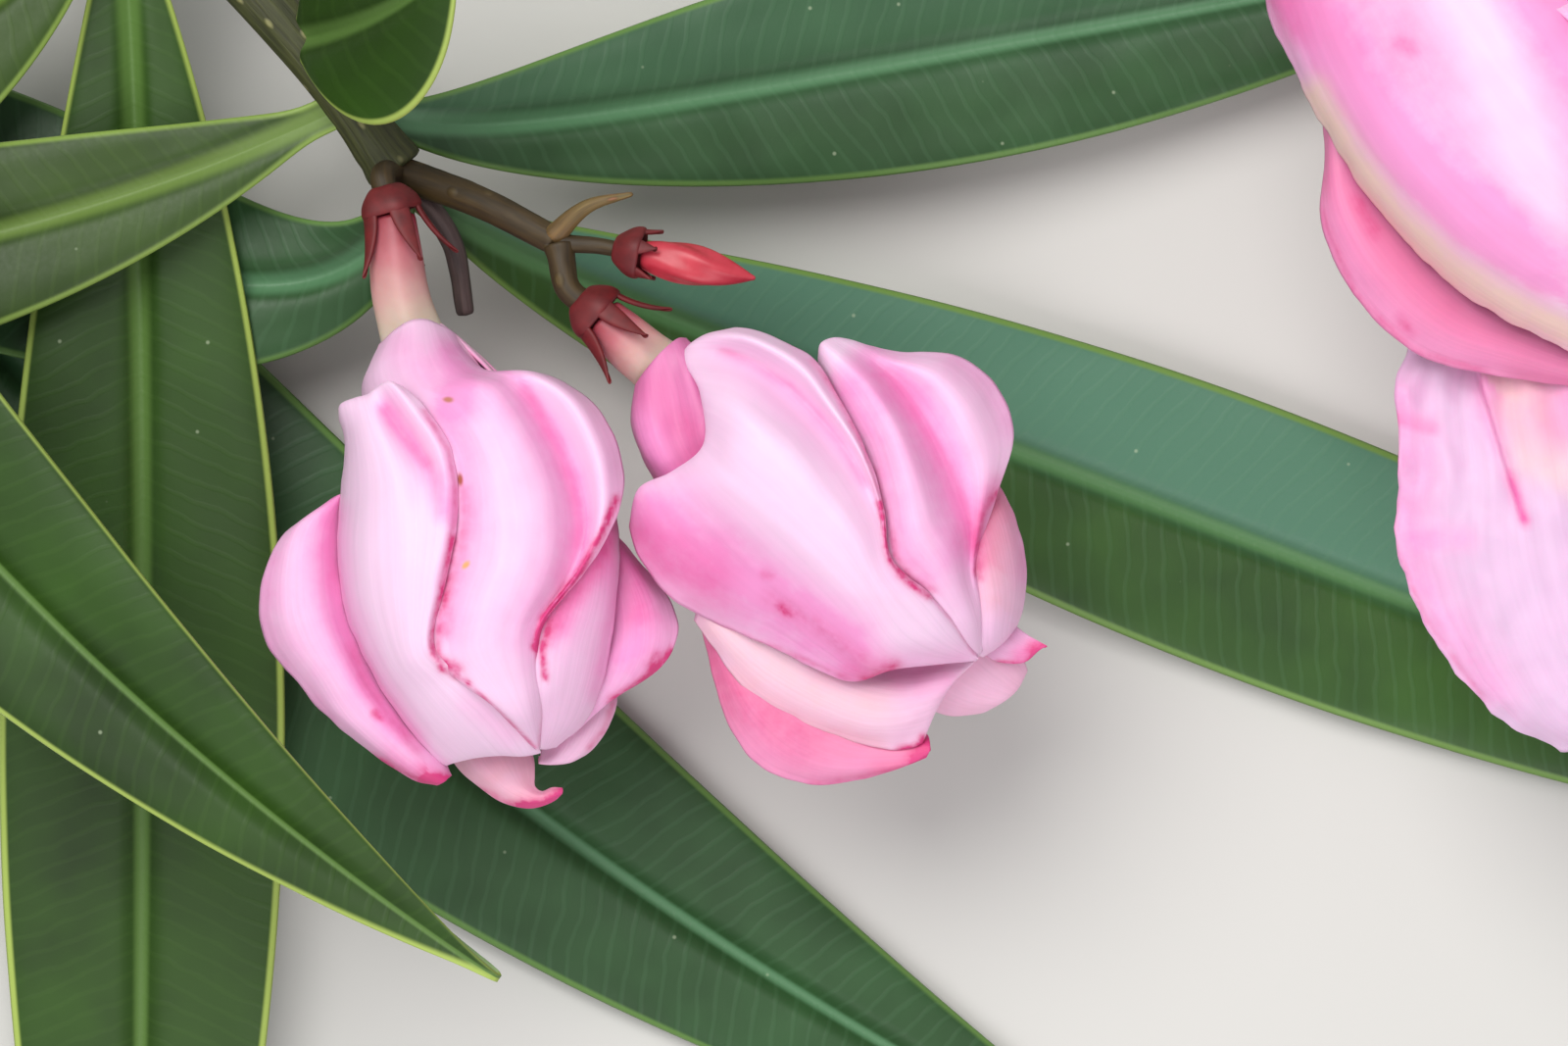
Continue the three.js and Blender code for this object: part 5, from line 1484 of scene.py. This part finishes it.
caged_petal("open_flat_petal", "bloom_open", [
    [(-4, 16, -2), (-5.4, 17, -1.4), (-6.6, 18, -1.2), (-7.6, 19, -1.4), (-8.4, 20, -2)],
    [(-16.5, 25, .2), (-14, 27.6, .8), (-11.6, 29.6, .8), (-9.2, 31.4, .6), (-7, 33, 0)],
    [(-21.8, 27.4, .6), (-18.6, 31.6, 1.2), (-15, 34.6, 1.2), (-11.6, 36.8, .8), (-8.4, 38.6, .2)],
    [(-25.2, 31.8, -.4), (-21.6, 36, .6), (-17.6, 39.2, 1), (-13.4, 41.8, .6), (-9.6, 43.8, -.4)],
    [(-28.6, 35.4, -1.6), (-24.8, 40, -.4), (-20, 43.6, .2), (-15.4, 46.6, -.4), (-11.2, 48.6, -1.6)],
    [(-30.9, 42.5, -3.2), (-27.2, 45.6, -1.8), (-22.4, 48.8, -1.2), (-17.4, 51.2, -1.8), (-13, 52.4, -3.2)],
    [(-30.7, 47.6, -4.4), (-28, 50.2, -3), (-23.8, 52.8, -2.6), (-19, 54.4, -3.2), (-15, 54.6, -4.4)],
    [(-29, 51.8, -5.4), (-27, 53.4, -4.6), (-23.8, 55, -4.4), (-20.2, 55.9, -4.8), (-17, 55.8, -5.6)],
], stains=(
    # painted shade: deep pink along the pleat's crease
    ("deep", .45, (.25, .35), [(-17.9, 31.2), (-19.2, 34.2), (-20.6, 37.4), (-21.4, 39.6)]),
    ("deep", .5, (.4, .45), [(-20.3, 37), (-20.8, 38.2), (-21.4, 39.6)]),
    ("cream", .5, (1.0, 3.0), [(-17.4, 33.5), (-18.8, 37), (-17.4, 40)]),
    # painted shade: the salmon and pink on this line and the next darken the upper part that the cup petal
    # shades
    ("salmon", .35, (1.6, 3.0), [(-15.6, 30), (-16.6, 33)]),
    ("blush", 1.1, (2.0, 3.2), [(-16, 30), (-17, 34), (-14, 38)]),
    ("blush", .5, (1.2, 2.0), [(-22.6, 28.4), (-24.8, 32), (-28.4, 35.6), (-29.6, 40), (-30, 46)]),
    ("deep", .45, (.4, .6), [(-23.4, 29.6), (-22.2, 31.2)]),
    ("blush", .4, (.8, .8), [(-27.4, 36), (-25, 38)]),
    ("magenta", .3, (.2, .2), [(-23.2, 29), (-26.4, 32.8), (-28.6, 35), (-30.2, 40), (-30.6, 46)]),
), base={"blush": .16}, skin=lavender_shaded_skin, fine=(110, 84), wrinkle=.34, seed=18.3,
    bend=fanned)


SPREAD_GRID = (60, 64)
SPREAD_CUP = 36


def spread_petal(name, angle, reach, share, half_width, roll, seed):
    """A petal that has opened away from the axis: cupped, ruffled at its end, and rolled about its midrib"""
    foot, apex = FLOWERS["bloom_open"]["foot"], FLOWERS["bloom_open"]["apex"]
    along = (apex - foot).normalized()
    up = (Vector((0, 0, 1)) - along * along.z).normalized()
    right = up.cross(along)
    tube_length = FLOWERS["bloom_open"]["tube"]
    span = (apex - foot).length - tube_length
    out = right.copy()
    out.rotate(Matrix.Rotation(math.radians(angle), 3, along))

    def midrib(s):
        return foot + along * (tube_length + span * share * s**1.2) + out * mix(1.3, reach, s**0.85)

    def place(u, v):
        s = max(v, 0.001)
        ahead = (midrib(s + 0.01) - midrib(max(0, s - 0.01))).normalized()
        side = along.cross(out)
        side.rotate(Matrix.Rotation(math.radians(roll * min(1.0, s / 0.5)), 3, ahead))
        inward = ahead.cross(side)
        w = 2 * u - 1
        half = half_width * wave(mix(0.04, 0.93, s), 1.3, 0.7)
        bulge = 1 - 0.1 * w * w * s**3 + 0.03 * uneven((w * 9, 3), 2.0, seed) * s**6
        ruffle = 1.3 * uneven((w * 12, v * 20), 3.4, seed) * (abs(w) ** 2 * s + s**6)
        fan = 0.12 * math.cos(u * 60) * v
        cup = (half * w) ** 2 / SPREAD_CUP
        return midrib(s * bulge) + side * (half * w) + inward * (cup + ruffle + fan)

    bm = grid(place, *SPREAD_GRID, marks=stained((
        ("blush", .5, .5, .1, .2, .6), ("blush", 0, .15, .7, .3, .5), ("blush", 1, .15, .7, .3, .5),
        ("deep", .5, .6, 1, .05, .4), ("magenta", .5, .6, 1, .015, .4)), {"blush": .25}))
    face_toward(bm, -out + along * 0.3)
    return piece(bm, name, "bloom_open", "petal", [petal_skin, petal_rim], wall=PETAL_WALL, rim=1, levels=0)


spread_petal("open_upper_petal", 38, 22, .8, 13, 0, 21.1)
spread_petal("open_right_petal", 356, 26, .84, 14, -30, 22.6)
spread_petal("open_lower_petal", 326, 25, .9, 13, -62, 23.9)


def open_middle(t):
    return (mix(0, -.2, t), mix(0, 1.4, t**2))


wound_core("open_heart_petals", "bloom_open", 11.2, .5, 44.8, open_middle)
for i, start in enumerate((165, 215, 260, 295)):
    wound_petal(f"open_back_petal_{i + 1}", "bloom_open", start, 80, 12.6, .52, 45.6,
                open_middle, 0.3 * i, 40.5 + i, flare=3.6)
tally("open_")

# %% [markdown]
# ## Tubes
# The petals of each bloom join in a narrow tube, pinkish red where it leaves the calyx and cream further
# up, until it takes on the petals' pink. The colour runs along it, so it reads the tube's own map.

# %% Tubes of the blooms
def tube_finish():
    """Smooth living tube, red at the foot and cream at the throat, with faint lengthwise ribs"""
    material, shader = finish("smooth_flower_tube", Roughness=0.5, Subsurface_Weight=0.3,
                              Subsurface_Scale=0.0012)
    surface = own_map(material)
    parts = add(material, "SeparateXYZ", inputs={"Vector": surface})
    place = maths(material, "MULTIPLY_ADD", clouds(material, surface, 7.0), 0.16, parts.outputs["Y"])
    ramp = add(material, "ValToRGB", inputs={"Fac": place})
    stops = ramp.color_ramp.elements
    stops[0].position, stops[0].color = 0.1, colour("#8E2A38")
    stops[1].position, stops[1].color = 1.0, colour("#DDBACB")
    for position, code in ((0.35, "#B46870"), (0.6, "#C49A94"), (0.8, "#C8B8A4")):
        stop = stops.new(position)
        stop.color = colour(code)
    return dress(material, shader, Base_Color=ramp.outputs["Color"])


TUBE_SIDES = 28

tube_skin = tube_finish()
TUBES = {
    "left_tube": ("bloom_left",
                  [(0, -7.9, 0), (-.4, -5.5, 0), (-.85, -2.6, 0), (-.8, .3, 0), (-.6, 2.6, .4)], 1.5, 2.4),
    "right_tube": ("bloom_right",
                   [(0, -7.7, 0), (0, -6, 0), (0, -4.3, 0), (.1, -2.6, -.2), (.2, -1, -.7)], 1.5, 2.2),
    "open_tube": ("bloom_open", [(0, -11.7, 0), (0, -8, 0), (0, -4, 0), (0, 0, 0), (0, 3, 0)], 1.55, 3.0),
}
for name, (bloom, points, start_radius, end_radius) in TUBES.items():
    to_world, _ = bloom_frame(FLOWERS[bloom])
    path = [to_world(*point) for point in points]

    def radius_at(share, angle, centre, low=start_radius, high=end_radius):
        swell = mix(low, high, share**1.6) + 0.12 * math.sin(math.pi * min(1, share * 1.6))
        return swell * (1 + 0.03 * math.cos(5 * angle))

    bm, frames, length = limb(path, radius_at, TUBE_SIDES, RING_STEP, 1.0)
    for face in bm.faces:
        for loop in face.loops:
            loop[bm.loops.layers.uv.active].uv.y /= length
    piece(bm, name, bloom, "petal", [tube_skin])
print("tubes:", len(TUBES))

# %% [markdown]
# ## Calyces
# A calyx is a small dark red cup that parts into five pointed sepals. The cup and the sepals are
# two pieces, because the cup is a closed body and the sepals are thin sheets. The skin is two near reds
# in small patches, which keeps so dark a part from looking like wax.

# %% Calyces
calyx_skin = plain_mottle("dark_red_calyx_skin", "#3C080A", "#78181C", 0.9, 0.6)
SEPALS = 5
CUP_FOOT = 1.5
SEPAL_WALL = 0.3
CUP_GRID = (30, 24)
SEPAL_GRID = (6, 12)

CALYCES = {
    "bloom_right": (4.6, 0.42, 1.5), "bloom_left": (4.8, 0.4, 1.5), "bloom_open": (5.6, 0.35, 1.55),
    "bud_right": (1.9, 0.15, 1.2), "bud_shoot": (2.6, 0.4, 1.5), "bud_shoot_low": (2.2, 0.4, 1.2),
}


def sepal_cup(flower, filling):
    """The cup round the foot of the tube: up its outside, over the rim and down its inside"""
    to_world, _ = bloom_frame(flower)
    size = filling / 1.55
    rim = filling + 0.5
    profile = [Vector(point) for point in (
        (-CUP_FOOT, 0.35 * size, 0), (-CUP_FOOT, 0.95 * size, 0), (-CUP_FOOT * 0.7, 1.5 * size, 0),
        (-0.4, rim - 0.1, 0), (0.2, rim, 0), (0.35, rim - 0.15, 0), (0.2, rim - 0.3, 0),
        (-0.2, filling + 0.1, 0), (-0.6, 0.5, 0))]

    def place(u, v):
        spot = through(profile, v)
        angle = 2 * math.pi * u
        radius = spot.y * (1 + 0.05 * math.cos(SEPALS * angle))
        x, h = radius * math.cos(angle), radius * math.sin(angle)
        return to_world(x, spot.x - flower["tube"], h)

    return tube(place, *CUP_GRID)


def sepal(flower, index, length, spread, filling):
    """One pointed sepal, keeled along its middle and bent outward"""
    to_world, _ = bloom_frame(flower)
    angle = 2 * math.pi * index / SEPALS
    reach = length * (0.9 + 0.16 * uneven((index * 3.3, length), 1.0, filling))

    def place(u, v):
        w = 2 * u - 1
        width = mix(1.0, 0.06, v**1.2) * (1.02 * filling + 0.1) * (1 - 0.15 * hump(v, 0, 0.2))
        out = filling + 0.4 + math.sin(spread) * reach * v**1.5 + 0.15 * abs(w) * (1 - v)
        turn = angle + w * width / max(out, 1.0) * 0.62
        y = -0.2 + reach * v * math.cos(spread * v)
        radius = out - 0.18 * w * w
        return to_world(radius * math.cos(turn), y - flower["tube"], radius * math.sin(turn))

    bm = grid(place, *SEPAL_GRID)
    x, h = math.cos(angle), math.sin(angle)
    face_toward(bm, to_world(x, 0, h) - to_world(0, 0, 0))
    return bm


def joined(parts):
    """Several meshes in one"""
    whole = bmesh.new()
    whole.loops.layers.uv.new("UVMap")
    for part in parts:
        held = bpy.data.meshes.new("held")
        part.to_mesh(held)
        part.free()
        whole.from_mesh(held)
        bpy.data.meshes.remove(held)
    return whole


for name, (length, spread, filling) in CALYCES.items():
    flower = FLOWERS[name]
    node = f"{name}_calyx"
    piece(sepal_cup(flower, filling), f"{node}_cup", node, "calyx", [calyx_skin])
    sepals = joined([sepal(flower, i, length, spread, filling) for i in range(SEPALS)])
    piece(sepals, f"{node}_sepals", node, "calyx", [calyx_skin], wall=SEPAL_WALL)
print("calyces:", len(CALYCES))

# %% [markdown]
# ## Flower stalks
# Each flower's stalk runs from its carrier and comes in along the flower's own axis.

# %% Flower stalks
STALK_STEP = 0.35

STALKS = {
    "bloom_right": (at(-14.4, 17.9, 18), 0.95), "bloom_left": (JOINTS["head"], 0.95),
    "bloom_open": (JOINTS["shoot_tip"], 1.1), "bud_right": (at(-14.4, 17.9, 18), 0.6),
    "bud_shoot": (JOINTS["shoot_tip"], 0.65), "bud_shoot_low": (JOINTS["shoot_tip"], 0.6),
}
for name, (start, radius) in STALKS.items():
    flower = FLOWERS[name]
    along = (flower["apex"] - flower["foot"]).normalized()
    end = flower["foot"] - along * 0.9
    bend = end - along * (0.35 * (start - end).length)

    def radius_at(share, angle, centre, width=radius, seed=radius * 9):
        wander = 0.07 * uneven((math.cos(angle) * 2 + share * 9, math.sin(angle) * 2), 2.0, seed)
        swell = 0.18 * hump(share, 0, 0.12) + 0.12 * hump(share, 1, 0.1)
        return width * (mix(1.0, 0.85, share) + wander + swell)

    girth = 2 * math.pi * radius
    bm, frames, length = limb([start, bend, end], radius_at, THIN_SIDES, STALK_STEP, girth)
    piece(bm, f"{name}_stalk_skin", f"{name}_stalk", "stalk", [stalk_skin])
print("flower stalks:", len(STALKS))

# %% [markdown]
# ## Buds
# Closed buds are slender spindles of deep red, with their petals' edges wound round them in low ridges.
# They are smoother than the calyx, so a soft highlight runs along each ridge.

# %% Buds
BUD_GRID = (30, 24)
BUDS = {"bud_right": 1.3, "bud_shoot": 1.5, "bud_shoot_low": 1.2}

bud_skin = plain_mottle("satin_deep_red_bud_skin", "#A51F30", "#C8404E", 0.9, 0.4)
for name, radius in BUDS.items():
    flower = FLOWERS[name]
    to_world, _ = bloom_frame(flower)
    length = (flower["apex"] - flower["foot"]).length

    def place(u, v):
        angle = 2 * math.pi * u
        ridge = 1 + 0.09 * math.sin(5 * (angle - 1.6 * v)) * math.sin(math.pi * v)
        width = max(0.12, radius * wave(mix(0.2, 1, v), 1, 0.8) * ridge)
        return to_world(width * math.cos(angle), mix(0.3, length, v), width * math.sin(angle))

    piece(tube(place, *BUD_GRID), f"{name}_petals", name, "bud", [bud_skin])
print("buds:", len(BUDS))

# %% [markdown]
# ## Sizes
# The box round the new pieces is printed in millimetres, after how many pieces there are and about how
# many faces they have.

# %% Write the sizes and finish
own_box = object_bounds()
print("pieces:", len(made), "faces about:", sum(made.values()))
for low, high, axis in zip(own_box[0], own_box[1], "xyz"):
    print(axis, round(low / MM, 1), round(high / MM, 1))
